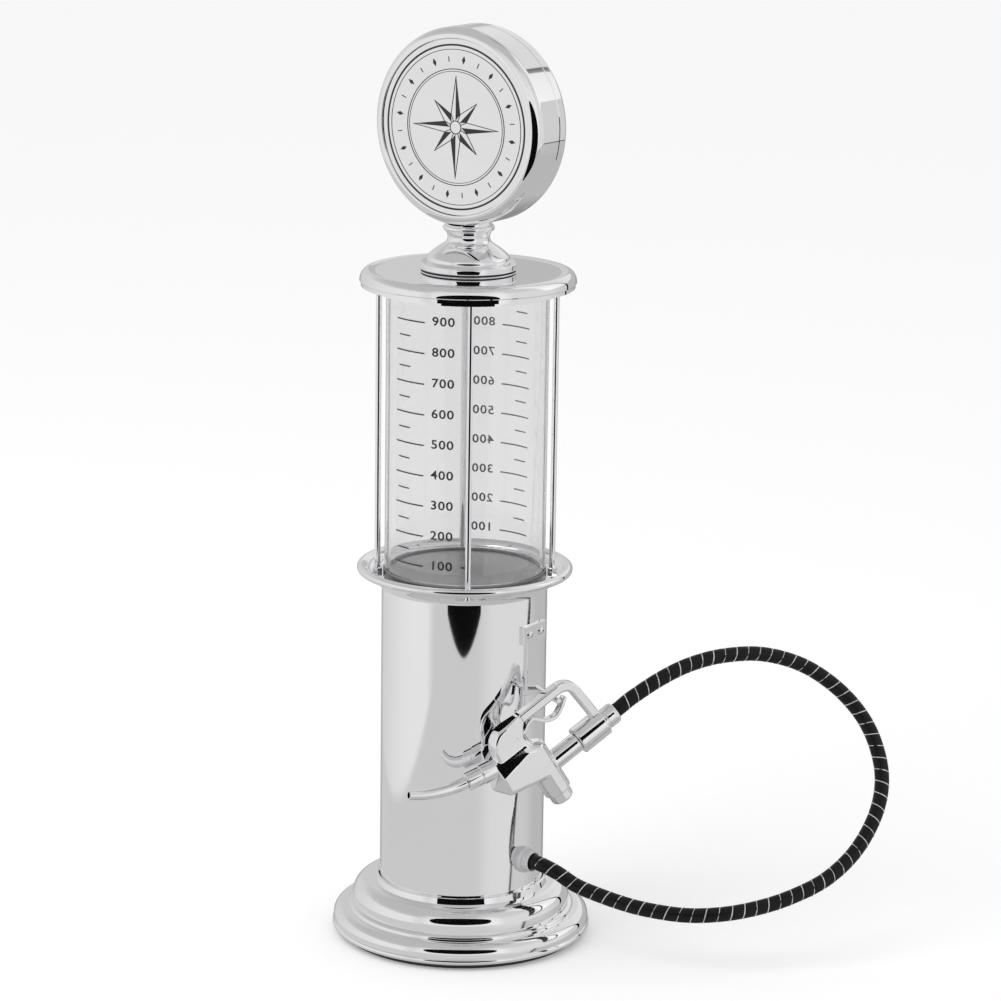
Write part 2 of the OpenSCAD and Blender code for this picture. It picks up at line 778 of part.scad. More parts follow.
module hose() {
    line = curve(hose_route, route_steps);
    run = lengths(line);
    total = run[len(run) - 1];
    rib_room = total - 2 * (gland_socket + hose_d);
    rib_count = floor(rib_room / rib_pitch);
    first = (total - rib_count * rib_pitch) / 2;
    middles = [for (i = [0:rib_count]) first + i * rib_pitch];
    stops = concat(
        [0, gland_socket],
        [for (s = middles) each [s - wire_d / 2, s, s + wire_d / 2]],
        [total - gland_socket, total]
    );
    radii = concat(
        [hose_d / 2, hose_d / 2],
        [for (s = middles) each [hose_d / 2, hose_d / 2 + wire_d / 2, hose_d / 2]],
        [hose_d / 2, hose_d / 2]
    );
    centres = points_at(line, stops);
    along = directions(centres);
    across = sides(along, [0, 0, 1]);
    skin = rings(centres, along, across, radii, hose_sides);
    lining_at = concat([0, 1], [for (i = [0:rib_count]) 3 + 3 * i], [len(stops) - 2, len(stops) - 1]);
    lining = [
        for (i = lining_at)
            [for (p = skin[i]) centres[i] + (p - centres[i]) * (hose_bore / 2) / radii[i]]
    ];
    color("#1a1a1c") ring_tube(skin, lining, hose_sides);
}

module hook_plate() {
    strap_top = hook_z - hook_h / 2;
    strap_low = peg_z - peg_d / 2 - 1;
    color("#c4c4c8") difference() {
        union() {
            translate([column_r - 2, -hook_w / 2, strap_top]) cube([2 + hook_t, hook_w, hook_h]);
            translate([column_r - 2, -strap_w / 2, strap_low]) cube([2 + hook_t, strap_w, strap_top - strap_low + 1]);
            in_gun() translate([peg_seat, peg_root, peg_low]) rotate([90, 0, 0])
                cylinder(d = peg_d, h = peg_root + guard_w / 2 + peg_over, $fn = 48);
        }
        cylinder(r = column_r, h = flange_z);
        for (side = [-1, 1]) translate([column_r - 4, side * hook_screw_pitch / 2, hook_z]) rotate([0, 90, 0])
            cylinder(r = hook_screw_r + running_gap, h = 10, $fn = 32);
    }
}

module hook_screws() {
    x = column_r + hook_t;
    color("#b0b0b4") for (side = [-1, 1]) translate([x, side * hook_screw_pitch / 2, hook_z]) rotate([0, 90, 0]) {
        rotate_extrude($fn = 48) polygon(concat([[0, 0]], arc([0, 0], hook_head_r, hook_head_h, 0, 90, 6)));
        translate([0, 0, -hook_screw_l - hook_t]) cylinder(r = hook_screw_r, h = hook_screw_l + hook_t + 0.2, $fn = 32);
    }
}

module flange() {
    skirt_r = column_r + fit_gap + flange_skirt;
    lip = [flange_r - flange_lip_r, flange_top + flange_rise];
    under_z = lip[1] - flange_lip_r;
    color("#d8d8da") difference() {
        rotate_extrude() polygon(concat(
            [[flange_hole_r, flange_z], [flange_hole_r, flange_top], [flange_flat_r, flange_top]],
            arc(lip, flange_lip_r, flange_lip_r, 120, -80, 12),
            arc([lip[0], flange_z - flange_socket], lip[0] - skirt_r, under_z - flange_z + flange_socket, 90, 180, 10),
            [[column_r + fit_gap, flange_z - flange_socket], [column_r + fit_gap, flange_z]]
        ));
        around(rod_count, rod_circle_r, rod_turn - 90) translate([0, 0, flange_z - flange_socket])
            cylinder(d = rod_d + 2 * fit_gap, h = flange_socket + flange_t + 1, $fn = 48);
        each_rod() translate([0, 0, rod_tip_seat - 1.5]) cylinder(r = rod_tip_r + fit_gap, h = 1.5, $fn = 48);
    }
}

module tank_floor() {
    color("#8e8e92") difference() {
        union() {
            translate([0, 0, flange_top]) cylinder(r = floor_r, h = floor_t);
            translate([0, 0, flange_top - drain_l]) cylinder(r = drain_r, h = drain_l + 1);
        }
        translate([0, 0, flange_top - drain_l - 1]) cylinder(r = inlet_bore_r, h = drain_l + floor_t + 2);
    }
}

module tank_seal(z) {
    color("#c8ccd0") translate([0, 0, z]) ring(tank_r + 0.3, tank_r - tank_wall - 0.3, seal_t);
}

module lower_seal() {
    tank_seal(floor_top);
}

module upper_seal() {
    tank_seal(tank_top);
}

module tank_tube() {
    color([0.85, 0.9, 0.92, 0.35]) translate([0, 0, tank_z]) ring(tank_r, tank_r - tank_wall, tank_h);
}

module each_rod() {
    around(rod_count, rod_circle_r, rod_turn - 90) children();
}

module tie_rods() {
    z = rod_tip_seat - rod_tip_hollow - fit_gap / 3;
    color("#d8d8da") each_rod() translate([0, 0, z]) cylinder(d = rod_d, h = lid_z + rod_grip - z, $fn = 48);
}

module rod_nuts() {
    color("#c8c8cc") each_rod() translate([0, 0, flange_top]) difference() {
        cylinder(r = rod_nut_r, h = rod_nut_h, $fn = 6);
        translate([0, 0, -1]) cylinder(d = rod_d, h = rod_nut_h + 2, $fn = 48);
    }
}

module rod_tips() {
    z = rod_tip_seat - fit_gap / 3;
    color("#c8c8cc") each_rod() translate([0, 0, z]) rotate_extrude($fn = 48) polygon(concat(
        arc([0, -rod_tip_h], rod_tip_r, rod_tip_dome, -90, 0, 6),
        [[rod_tip_r, 0], [rod_d / 2, 0], [rod_d / 2, -rod_tip_hollow], [0, -rod_tip_hollow]]
    ));
}

module lid() {
    ring_top = lid_z + lid_edge_lift + lid_ring_h;
    edge = [lid_r - lid_edge_d, ring_top + 0.6];
    hole_r = filler_r + filler_wall;
    ring_r = lid_r - lid_ring_set;
    color("#d8d8da") difference() {
        rotate_extrude() polygon(concat(
            [[hole_r + fit_gap, lid_z], [hole_r + lid_wall, lid_z], [hole_r + lid_wall, lid_top - lid_wall]],
            [[tank_r - tank_wall - 1, lid_top - lid_wall], [tank_r - tank_wall - 1, lid_z], [lid_seat_r, lid_z]],
            [[lid_seat_r, lid_z + lid_edge_lift], [ring_r, lid_z + lid_edge_lift], [ring_r, ring_top], [lid_r - 0.4, ring_top + 0.1]],
            arc(edge, lid_edge_d, lid_crest - edge[1], 0, 96, 12),
            swell([edge[0] - 1.2, lid_crest - 0.2], [lid_dish_r, lid_top], -0.1, 4),
            [[hole_r + fit_gap, lid_top]]
        ));
        each_rod() translate([0, 0, lid_z - 1]) cylinder(d = rod_d, h = rod_grip + 1, $fn = 48);
    }
}

module filler_ring() {
    color("#d0d0d2") difference() {
        union() {
            translate([0, 0, lid_top]) cylinder(r = foot_r, h = filler_ring_t);
            translate([0, 0, lid_z]) cylinder(r = filler_r + filler_wall, h = filler_top - lid_z);
        }
        translate([0, 0, lid_z - 1]) cylinder(r = filler_r, h = filler_top - lid_z + 2);
    }
}

module plug_seal() {
    color("#2c2c2e") translate([0, 0, filler_top + running_gap]) ring(plug_seal_r, plug_r, plug_seal_t - running_gap);
}

module pedestal() {
    bead_z = pedestal_h - 4.6;
    color("#d8d8da") difference() {
        translate([0, 0, pedestal_z]) rotate_extrude() polygon(concat(
            [[0, -plug_l], [plug_r, -plug_l], [plug_r, 0], [foot_r - 0.5, 0], [foot_r, 0.5], [foot_r, 3]],
            [[foot_r - 0.5, 3.5]],
            swell([21.8, 3.4], [21.7, bead_z - 12.4], 0.6, 5),
            swell([21.5, bead_z - 12.1], [13.3, bead_z - 6], 0.3, 5),
            swell([13.1, bead_z - 5.8], [11.3, bead_z - 2.6], -0.4, 5),
            swell([11.3, bead_z - 2.2], [12.3, bead_z + 0.6], -0.2, 4),
            swell([12.4, bead_z + 0.8], [12.5, bead_z + 4.4], 1.3, 6),
            [[12.2, pedestal_h + 2], [0, pedestal_h + 2]]
        ));
        translate([0, 0, sign_z]) rotate([90, 0, 0]) cylinder(r = sign_r, h = sign_t + 20, center = true, $fn = 160);
        translate([0, 0, pedestal_z - plug_l - 1]) cylinder(r = plug_r - plug_wall, h = plug_l);
        translate([0, 0, pedestal_z - plug_l - 1]) cylinder(r = neck_bore_r, h = plug_l + 1 + neck_bore_h);
        translate([0, 0, pedestal_z]) cylinder(d = bolt_d + 2 * fit_gap, h = pedestal_h + 3);
    }
}

module sign_bolt() {
    z = pedestal_z + neck_bore_h;
    color("#a8a8aa") {
        translate([0, 0, z - bolt_head_h]) cylinder(r = bolt_head_r, h = bolt_head_h);
        translate([0, 0, z - 1]) cylinder(d = bolt_d, h = sign_z - sign_r + sign_wall + sign_nut_h + 1 - z + 1);
    }
}

module sign_nut() {
    z = sign_z - sign_r + sign_wall + 0.2;
    color("#a8a8aa") translate([0, 0, z]) difference() {
        cylinder(r = sign_nut_r, h = sign_nut_h, $fn = 6);
        translate([0, 0, -1]) cylinder(d = bolt_d, h = sign_nut_h + 2);
    }
}

// Places a profile turned about the sign's axis, with the front of the sign at positive heights
module on_sign() {
    translate([0, 0, sign_z]) rotate([90, 0, 0]) children();
}

module sign_front_shell() {
    front = sign_t / 2;
    seam = front - sign_front_t;
    seat = front - face_set_back - face_t;
    color("#d8d8da") difference() {
        on_sign() rotate_extrude($fn = 160) polygon(concat(
            [[sign_r - sign_wall, seam], [sign_r, seam]],
            arc([sign_r - sign_bead, front - sign_bead], sign_bead, sign_bead, 0, 90, 10),
            [[face_r + fit_gap, front - 0.3], [face_r + fit_gap, seat], [face_r - seat_w, seat]],
            [[face_r - seat_w, seat - sign_wall], [sign_r - sign_wall - 2, seat - sign_wall]],
            [[sign_r - sign_wall, seat - sign_wall - 2]]
        ));
        translate([0, 0, sign_z - sign_r - 1]) cylinder(d = bolt_d + 2 * fit_gap, h = sign_wall + 4);
    }
}

module sign_back_shell() {
    back = -sign_t / 2;
    seam = sign_t / 2 - sign_front_t;
    round_r = 4;
    color("#d0d0d2") on_sign() rotate_extrude($fn = 160) polygon(concat(
        [[0, back], [sign_r - round_r, back]],
        arc([sign_r - round_r, back + round_r], round_r, round_r, -80, 0, 7),
        [[sign_r, seam - 0.4], [sign_r - 0.4, seam], [sign_r - sign_wall, seam]],
        [[sign_r - sign_wall, back + round_r], [sign_r - round_r, back + sign_wall], [0, back + sign_wall]]
    ));
}

module sign_face() {
    color("#ececee") on_sign() translate([0, 0, sign_t / 2 - face_set_back - face_t]) cylinder(r = face_r, h = face_t, $fn = 160);
}

// Side outline of the cheek between the nose and the guard
function cheek_outline() = concat(
    [[bar_start, bar_z], [bar_start, bar_top]],
    arc([-17, 22], 11.5, bar_top - 22, 90, 170, 8),
    [[-29.5, 17], [-20, 10], [-1.5, 7], [-6.5, 23.5]]
);

module gun_body() {
    color("#d8d8da") in_gun() difference() {
        union() {
            plate_in_gun(cheek_w) polygon(cheek_outline());
            hull() {
                along_collar(-4) cylinder(r = nose_r, h = 4, $fn = 32);
                for (side = [-1, 1]) translate([nose_x, side * 5, 4]) sphere(r = 2, $fn = 20);
                translate([nose_x - 4, 0, 9.5]) sphere(r = 3, $fn = 24);
                translate([valve_x, 0, -2]) cylinder(d = valve_d, h = 16, $fn = 48);
            }
            translate([valve_x, 0, housing_end]) cylinder(d = valve_d, h = -housing_end + 8);
            along_barrel(valve_x) cylinder(d = barrel_d, h = block_x - valve_x);
        }
        translate([slot_x, -slot_w / 2, slot_floor]) cube([bar_start - slot_x + 4, slot_w, bar_z - slot_floor]);
        translate([valve_x, 0, housing_end - 1]) cylinder(r = valve_bore_r, h = seat_z - housing_end + 1);
        translate([valve_x, 0, 0]) cylinder(r = port_r, h = port_top);
        translate([valve_x, 0, 0]) cylinder(r = stem_r + running_gap, h = slot_floor + 1, $fn = 48);
        along_barrel(valve_x) cylinder(r = flow_r, h = block_x - valve_x + 1);
        along_collar(-24) cylinder(r = flow_r, h = 26);
        along_collar() cylinder(r = collar_root_r + fit_gap / 3, h = collar_l);
        translate([pivot[0], 0, pivot[1]]) rotate([90, 0, 0]) cylinder(d = pin_d, h = cheek_w + 2, center = true, $fn = 48);
    }
}

module trigger_guard() {
    corner = [guard_corner_x, bar_z - guard_corner_r];
    out_r = guard_corner_r + guard_t;
    foot_x = corner[0] + guard_corner_r + arm_lean;
    color("#d8d8da") in_gun() difference() {
        plate_in_gun(guard_w) polygon(concat(
            [[bar_start, bar_z], [bar_start, bar_top]],
            arc(corner, out_r, out_r, 90, 0, 10),
            [[foot_x + guard_t, 0], [foot_x, 0]],
            arc(corner, guard_corner_r, guard_corner_r, 0, 90, 8)
        ));
        along_barrel(block_x - 1) cylinder(d = block_d, h = block_l + 2);
    }
}

module tail_block() {
    color("#d8d8da") in_gun() along_barrel(block_x) difference() {
        rotate_extrude() polygon([
            [0, 0], [block_d / 2 - 0.8, 0], [block_d / 2, 0.8], [block_d / 2, block_l - 0.8], [block_d / 2 - 0.8, block_l],
            [0, block_l]
        ]);
        translate([0, 0, -1]) cylinder(r = flow_r, h = block_l + 2);
    }
}

module hose_ferrule() {
    color("#d0d0d2") in_gun() along_barrel(block_end) difference() {
        rotate_extrude() polygon(concat(
            [[0, 0], [ferrule_r, 0], [ferrule_r, ferrule_l - 2.5]],
            arc([ferrule_lip_r - 0.5, ferrule_l - 2.5], ferrule_r - ferrule_lip_r + 0.5, 2.5, 10, 90, 6),
            [[0, ferrule_l]]
        ));
        translate([0, 0, ferrule_floor]) cylinder(r = hose_d / 2 + fit_gap, h = ferrule_l);
        translate([0, 0, -1]) cylinder(r = flow_r, h = ferrule_l);
    }
}

module spout_collar() {
    half = collar_l / 2;
    color("#d8d8da") in_gun() along_collar() difference() {
        rotate_extrude() polygon([
            [0, 0], [collar_root_r, 0], [collar_root_r, half - collar_groove], [collar_root_r - 0.5, half - collar_groove],
            [collar_root_r - 0.5, half], [collar_end_r, half], [collar_end_r, collar_l - 0.5], [collar_end_r - 0.5, collar_l],
            [0, collar_l]
        ]);
        translate([0, 0, -1]) cylinder(r = flow_r, h = collar_l + 2);
    }
}

module spout() {
    bend_r = spout_l / spout_bend * 180 / PI;
    angles = [for (i = [0:spout_rings]) spout_bend * i / spout_rings];
    centres = [for (a = angles) [bend_r * (1 - cos(a)), 0, bend_r * sin(a)]];
    along = [for (a = angles) [sin(a), 0, cos(a)]];
    across = [for (a = angles) [cos(a), 0, -sin(a)]];
    radii = [for (i = [0:spout_rings]) spout_root_r + (spout_tip_r - spout_root_r) * i / spout_rings];
    bores = [for (r = radii) r - spout_wall];
    color("#d8d8da") in_gun() along_collar(collar_l)
        ring_tube(rings(centres, along, across, radii, 24), rings(centres, along, across, bores, 24), 24);
}

module trigger_pin() {
    color("#a8a8aa") in_gun() translate([pivot[0], 0, pivot[1]]) rotate([90, 0, 0])
        cylinder(d = pin_d, h = cheek_w, center = true, $fn = 48);
}

// Middle line of the trigger strip, from its eye to its tip
trigger_line = [
    [pivot[0], pivot[1] - lever_drop + trigger_t / 2], [-6.5, pivot[1] - lever_drop + trigger_t / 2], [-3.2, 28],
    [1, 28.2], [6, 23], [11.4, 21], [16.8, 23], [22, 27]
];

module trigger() {
    line = curve([for (p = trigger_line) [p[0], p[1], 0]], 5);
    along = directions(line);
    left = [for (i = [0:len(line) - 1]) [line[i][0] - along[i][1] * trigger_t / 2, line[i][1] + along[i][0] * trigger_t / 2]];
    right = [for (i = [len(line) - 1:-1:0]) [line[i][0] + along[i][1] * trigger_t / 2, line[i][1] - along[i][0] * trigger_t / 2]];
    color("#b8b8bc") in_gun() difference() {
        union() {
            plate_in_gun(trigger_w) polygon(concat(left, right));
            translate([pivot[0], 0, pivot[1]]) rotate([90, 0, 0]) cylinder(r = pivot_eye_r, h = trigger_w, center = true, $fn = 48);
        }
        translate([pivot[0], 0, pivot[1]]) rotate([90, 0, 0])
            cylinder(r = pin_d / 2 + running_gap, h = trigger_w + 2, center = true, $fn = 48);
    }
}

module valve_stem() {
    low = seat_z - stem_gap - seal_disc_t;
    color("#c0c0c4") in_gun() translate([valve_x, 0, 0]) {
        translate([0, 0, low]) cylinder(r = stem_r, h = stem_top - stem_r - low, $fn = 48);
        translate([0, 0, stem_top - stem_r]) sphere(r = stem_r, $fn = 48);
    }
}

module valve_seal() {
    color("#303032") in_gun() translate([valve_x, 0, seat_z - stem_gap - seal_disc_t]) ring(seal_r, stem_r, seal_disc_t);
}

module valve_spring() {
    z0 = housing_end + cap_thread_l + spring_wire_d / 2;
    z1 = seat_z - stem_gap - seal_disc_t - spring_wire_d / 2 - fit_gap;
    n = spring_turns * 8;
    centres = [for (i = [0:n]) let (a = 360 * spring_turns * i / n) [spring_r * cos(a), spring_r * sin(a), z0 + (z1 - z0) * i / n]];
    along = directions(centres);
    across = sides(along, [0, 0, 1]);
    radii = [for (p = centres) spring_wire_d / 2];
    skin = rings(centres, along, across, radii, 6);
    bottom = [for (j = [0:5]) j];
    top = [for (j = [5:-1:0]) n * 6 + j];
    wall = [
        for (i = [0:n - 1], j = [0:5]) let (a = i * 6 + j, b = i * 6 + (j + 1) % 6) each [[b, a, a + 6], [b, a + 6, b + 6]]
    ];
    color("#909094") in_gun() translate([valve_x, 0, 0]) polyhedron(flat(skin), concat(wall, [bottom, top]));
}

module valve_cap() {
    color("#d0d0d2") in_gun() translate([valve_x, 0, 0]) rotate_extrude() polygon(concat(
        [[0, cap_end], [cap_r - 1.5, cap_end]],
        arc([cap_r - 1.5, cap_end + 1.5], 1.5, 1.5, -80, 0, 6),
        [[cap_r, housing_end], [cap_thread_r - running_gap, housing_end]],
        [[cap_thread_r - running_gap, housing_end + cap_thread_l], [0, housing_end + cap_thread_l]]
    ));
}

foot_ring();
base_plate();
base_shell();
base_screws();
battery_box();
batteries();
battery_contacts();
battery_cover();
switch_body();
power_switch();
wires();
column_tube();
pump_bracket();
motor();
motor_shaft();
impeller();
pump_housing();
pump_cover();
feed_tube();
outlet_tube();
hose_gland();
gland_nut();
hose();
hook_plate();
hook_screws();
flange();
tank_floor();
lower_seal();
tank_tube();
upper_seal();
tie_rods();
rod_nuts();
rod_tips();
lid();
filler_ring();
plug_seal();
pedestal();
sign_bolt();
sign_nut();
sign_front_shell();
sign_back_shell();
sign_face();
gun_body();
trigger_guard();
tail_block();
hose_ferrule();
spout_collar();
spout();
trigger_pin();
trigger();
valve_stem();
valve_seal();
valve_spring();
valve_cap();
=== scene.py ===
"""Looks of a table-top drinks dispenser in the shape of an old fuel pump.

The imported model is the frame. Every piece sits where its node is, in metres: the origin is the middle of
the base on the table, +Z is up, the sign faces -Y and the gun hangs on the +X side.
The sizes in the classes are in millimetres.
"""

import logging
import math
from dataclasses import dataclass
from enum import Enum
from typing import Any, Iterable, Sequence

import bpy
from mathutils import Matrix, Vector


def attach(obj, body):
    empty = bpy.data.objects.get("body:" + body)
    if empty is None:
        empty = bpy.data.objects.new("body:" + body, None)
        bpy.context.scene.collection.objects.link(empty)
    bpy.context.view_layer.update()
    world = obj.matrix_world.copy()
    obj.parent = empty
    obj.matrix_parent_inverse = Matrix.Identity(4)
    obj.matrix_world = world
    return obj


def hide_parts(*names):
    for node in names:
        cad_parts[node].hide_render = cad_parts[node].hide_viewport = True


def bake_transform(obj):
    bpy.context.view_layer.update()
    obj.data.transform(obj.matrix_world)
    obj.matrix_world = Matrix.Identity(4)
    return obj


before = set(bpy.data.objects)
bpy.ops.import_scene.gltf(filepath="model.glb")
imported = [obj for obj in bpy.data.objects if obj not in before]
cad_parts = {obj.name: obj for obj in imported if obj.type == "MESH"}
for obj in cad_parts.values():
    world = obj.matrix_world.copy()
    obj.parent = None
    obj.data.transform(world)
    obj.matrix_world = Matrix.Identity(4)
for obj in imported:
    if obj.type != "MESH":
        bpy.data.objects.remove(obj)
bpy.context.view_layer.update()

LOG = logging.getLogger("dispenser")
MM = 0.001
# Points nearer than this are merged and edges shorter than this are dropped, in metres
MERGE = 1e-6
EMPTY = 1e-7
# Edges of plates that are rounded and shaded sharp above this angle, in degrees
PLATE_SHARP = 40.0

Piece = bpy.types.Object
Socket = bpy.types.NodeSocket
Pair = tuple[float, float]
Triple = tuple[float, float, float]


class Body(str, Enum):
    """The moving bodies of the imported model."""

    STAND = "stand"
    SIGN = "sign"
    GUN = "gun"
    TRIGGER = "trigger"


class Slot(str, Enum):
    """The material slots of the record."""

    CHROME = "chrome"
    CLEAR = "clear_plastic"
    SEAL = "clear_seal"
    RUBBER = "black_rubber"
    HOSE = "hose_black"
    GREY = "grey_plastic"
    DARK = "dark_plastic"
    RED = "red_plastic"
    LEAD = "wire_red"
    TUBE = "tube_clear"
    WHITE = "white_plastic"
    STEEL = "steel"
    FACE = "sign_white"
    BATTERY = "battery_green"
    BRASS = "brass"


# Node trees


class Bench:
    """Adds and links the nodes of one material or world."""

    def __init__(self, tree: bpy.types.NodeTree) -> None:
        """Takes the tree to work on."""
        self.tree = tree

    def add(self, kind: str, **values: Any) -> bpy.types.Node:
        """Adds a node.

        Args:
            kind: Blender's name of the node type.
            values: properties of the node.

        Returns:
            The new node.
        """
        node = self.tree.nodes.new(kind)
        for key, value in values.items():
            setattr(node, key, value)
        return node

    def put(self, socket: Socket, value: Any) -> None:
        """Links a socket to another one, or sets its value.

        Args:
            socket: the socket to feed.
            value: another socket or a value.
        """
        if isinstance(value, Socket):
            self.tree.links.new(value, socket)
        else:
            socket.default_value = value

    def math(self, kind: str, a: Any, b: Any = 0.0, c: Any = 0.0) -> Socket:
        """Adds a sum of up to three values.

        Args:
            kind: the operation.
            a: first value or socket.
            b: second value or socket.
            c: third value or socket.

        Returns:
            The result's socket.
        """
        node = self.add("ShaderNodeMath", operation=kind)
        for socket, value in zip(node.inputs, (a, b, c)):
            self.put(socket, value)
        return node.outputs[0]

    def span(self, value: Any, low: Any, high: Any, to_low: Any = 0.0, to_high: Any = 1.0) -> Socket:
        """Maps a value smoothly from one span to another.

        Args:
            value: the value or socket to map.
            low: start of its span.
            high: end of its span.
            to_low: result at the start.
            to_high: result at the end.

        Returns:
            The result's socket.
        """
        node = self.add("ShaderNodeMapRange", interpolation_type="SMOOTHSTEP")
        names = ("Value", "From Min", "From Max", "To Min", "To Max")
        for name, number in zip(names, (value, low, high, to_low, to_high)):
            self.put(node.inputs[name], number)
        return node.outputs["Result"]

    def seen(self) -> Socket:
        """1 where the camera sees something straight or through the glass, and 0 elsewhere."""
        path = self.add("ShaderNodeLightPath")
        return self.math("MAXIMUM", path.outputs["Is Camera Ray"], path.outputs["Is Transmission Ray"])

    def place(self, stretch: Triple = (1.0, 1.0, 1.0)) -> Socket:
        """Adds object coordinates.

        Args:
            stretch: how much they are stretched along the axes.

        Returns:
            The coordinates, in metres.
        """
        mapping = self.add("ShaderNodeMapping")
        mapping.inputs["Scale"].default_value = stretch
        self.put(mapping.inputs["Vector"], self.add("ShaderNodeTexCoord").outputs["Object"])
        return mapping.outputs["Vector"]

    def noise(self, vector: Socket, scale: float, detail: float = 3.0) -> Socket:
        """Adds a noise.

        Args:
            vector: where it is read.
            scale: its scale, per metre.
            detail: its finer layers.

        Returns:
            The noise as one number.
        """
        node = self.add("ShaderNodeTexNoise")
        for name, value in (("Vector", vector), ("Scale", scale), ("Detail", detail)):
            self.put(node.inputs[name], value)
        return node.outputs["Fac"]

    def tint(self, fac: Any, dark: Any, light: Any) -> Socket:
        """Mixes two colours.

        Args:
            fac: share of the second, as a value or socket.
            dark: the first colour or its socket.
            light: the second colour or its socket.

        Returns:
            The mixed colour.
        """
        node = self.add("ShaderNodeMix", data_type="RGBA")
        self.put(node.inputs["Factor"], fac)
        for name, colour in (("A", dark), ("B", light)):
            self.put(node.inputs[name], colour if isinstance(colour, Socket) else (*colour, 1.0))
        return node.outputs["Result"]

    def bump(self, height: Socket, depth: float, strength: float = 0.5) -> Socket:
        """Adds a bump.

        Args:
            height: its height.
            depth: its depth, in metres.
            strength: how strong it shows.

        Returns:
            The bumped normal.
        """
        node = self.add("ShaderNodeBump")
        for name, value in (("Strength", strength), ("Distance", depth), ("Height", height)):
            self.put(node.inputs[name], value)
        return node.outputs["Normal"]


# Finishes


@dataclass(frozen=True)
class Finish:
    """A finish with a colour that varies a little, a roughness and a fine grain."""

    name: str
    slot: Slot
    dark: Triple
    light: Triple
    rough: Pair = (0.3, 0.45)
    metal: float = 0.0
    patch: float = 60.0
    grain: float = 2500.0
    grain_depth: float = 0.00001
    stretch: Triple = (1.0, 1.0, 1.0)
    transmission: float = 0.0
    ior: float = 1.5
    specular: float = 0.5

    def make(self) -> bpy.types.Material:
        """Builds the material.

        Returns:
            The material, which is made only once.
        """
        known = bpy.data.materials.get(self.name)
        if known is not None:
            return known
        material = bpy.data.materials.new(self.name)
        material.use_nodes = True
        bench = Bench(material.node_tree)
        shader = material.node_tree.nodes["Principled BSDF"]
        fixed = {"Metallic": self.metal, "IOR": self.ior, "Transmission Weight": self.transmission,
                 "Specular IOR Level": self.specular}
        for name, value in fixed.items():
            shader.inputs[name].default_value = value
        self.dress(bench, shader)
        return material

    def dress(self, bench: Bench, shader: bpy.types.Node) -> None:
        """Links colour, roughness and bump to the shader.

        Args:
            bench: the material's nodes.
            shader: the node to link to.
        """
        where = bench.place(self.stretch)
        patches = bench.noise(where, self.patch)
        grain = bench.noise(where, self.grain, 2.0)
        bench.put(shader.inputs["Base Color"], bench.tint(patches, self.dark, self.light))
        bench.put(shader.inputs["Roughness"], bench.span(patches, 0.3, 0.7, *self.rough))
        bench.put(shader.inputs["Normal"], bench.bump(grain, self.grain_depth))


@dataclass(frozen=True)
class BandedWrap(Finish):
    """A battery sleeve: a dark body with a metal-coloured band near one end."""

    band: Triple = (0.62, 0.42, 0.16)
    band_at: float = 0.0145
    band_edge: float = 0.0004

    def dress(self, bench: Bench, shader: bpy.types.Node) -> None:
        """Links the banded colour to the shader.

        Args:
            bench: the material's nodes.
            shader: the node to link to.
        """
        super().dress(bench, shader)
        split = bench.add("ShaderNodeSeparateXYZ")
        bench.put(split.inputs[0], bench.place())
        body = bench.tint(bench.noise(bench.place(), self.patch), self.dark, self.light)
        edge = bench.span(split.outputs["Y"], self.band_at, self.band_at + self.band_edge)
        bench.put(shader.inputs["Base Color"], bench.tint(edge, body, self.band))


CHROME = Finish("polished_chrome", Slot.CHROME, (0.88, 0.88, 0.89), (0.93, 0.93, 0.94), (0.02, 0.045),
                metal=1.0, patch=18.0, grain=900.0, grain_depth=0.0000004)
CAST_CHROME = Finish("cast_chrome", Slot.CHROME, (0.86, 0.86, 0.87), (0.92, 0.92, 0.93), (0.035, 0.07),
                     metal=1.0, patch=90.0, grain=420.0, grain_depth=0.000003)
FACE_METAL = Finish("polished_face", Slot.FACE, (0.84, 0.84, 0.85), (0.9, 0.9, 0.91), (0.10, 0.17),
                    metal=1.0, patch=30.0, grain=1400.0, grain_depth=0.000006, stretch=(1.0, 1.0, 6.0))
FLOOR_METAL = Finish("satin_floor", Slot.GREY, (0.15, 0.15, 0.153), (0.19, 0.19, 0.193), (0.18, 0.26),
                     metal=1.0, patch=40.0, grain=1200.0, grain_depth=0.000008)
ACRYLIC = Finish("clear_acrylic", Slot.CLEAR, (0.85, 0.85, 0.855), (0.875, 0.875, 0.88), (0.0, 0.015),
                 patch=20.0, grain=60.0, grain_depth=0.000004, stretch=(1.0, 1.0, 0.15), transmission=1.0,
                 ior=1.47)
SEAL = Finish("clear_seal_ring", Slot.SEAL, (0.27, 0.27, 0.28), (0.33, 0.33, 0.34), (0.3, 0.4))
INK = Finish("printed_ink", Slot.RUBBER, (0.012, 0.012, 0.013), (0.022, 0.022, 0.024), (0.35, 0.5),
             patch=400.0)
RUBBER = Finish("foot_rubber", Slot.RUBBER, (0.02, 0.02, 0.02), (0.034, 0.034, 0.034), (0.6, 0.75),
                patch=120.0, grain=1800.0, grain_depth=0.00005)
HOSE = Finish("hose_sleeve", Slot.HOSE, (0.003, 0.003, 0.0035), (0.007, 0.007, 0.008), (0.4, 0.5),
              patch=260.0, grain=2600.0, grain_depth=0.00002, specular=0.25)
WIRE = Finish("hose_wire_silver", Slot.STEEL, (0.72, 0.72, 0.73), (0.84, 0.84, 0.85), (0.18, 0.3),
              metal=1.0, patch=400.0)
GLAND = Finish("gland_plastic", Slot.GREY, (0.56, 0.56, 0.57), (0.63, 0.63, 0.64), (0.28, 0.4),
               patch=180.0, grain=2200.0, grain_depth=0.00002)
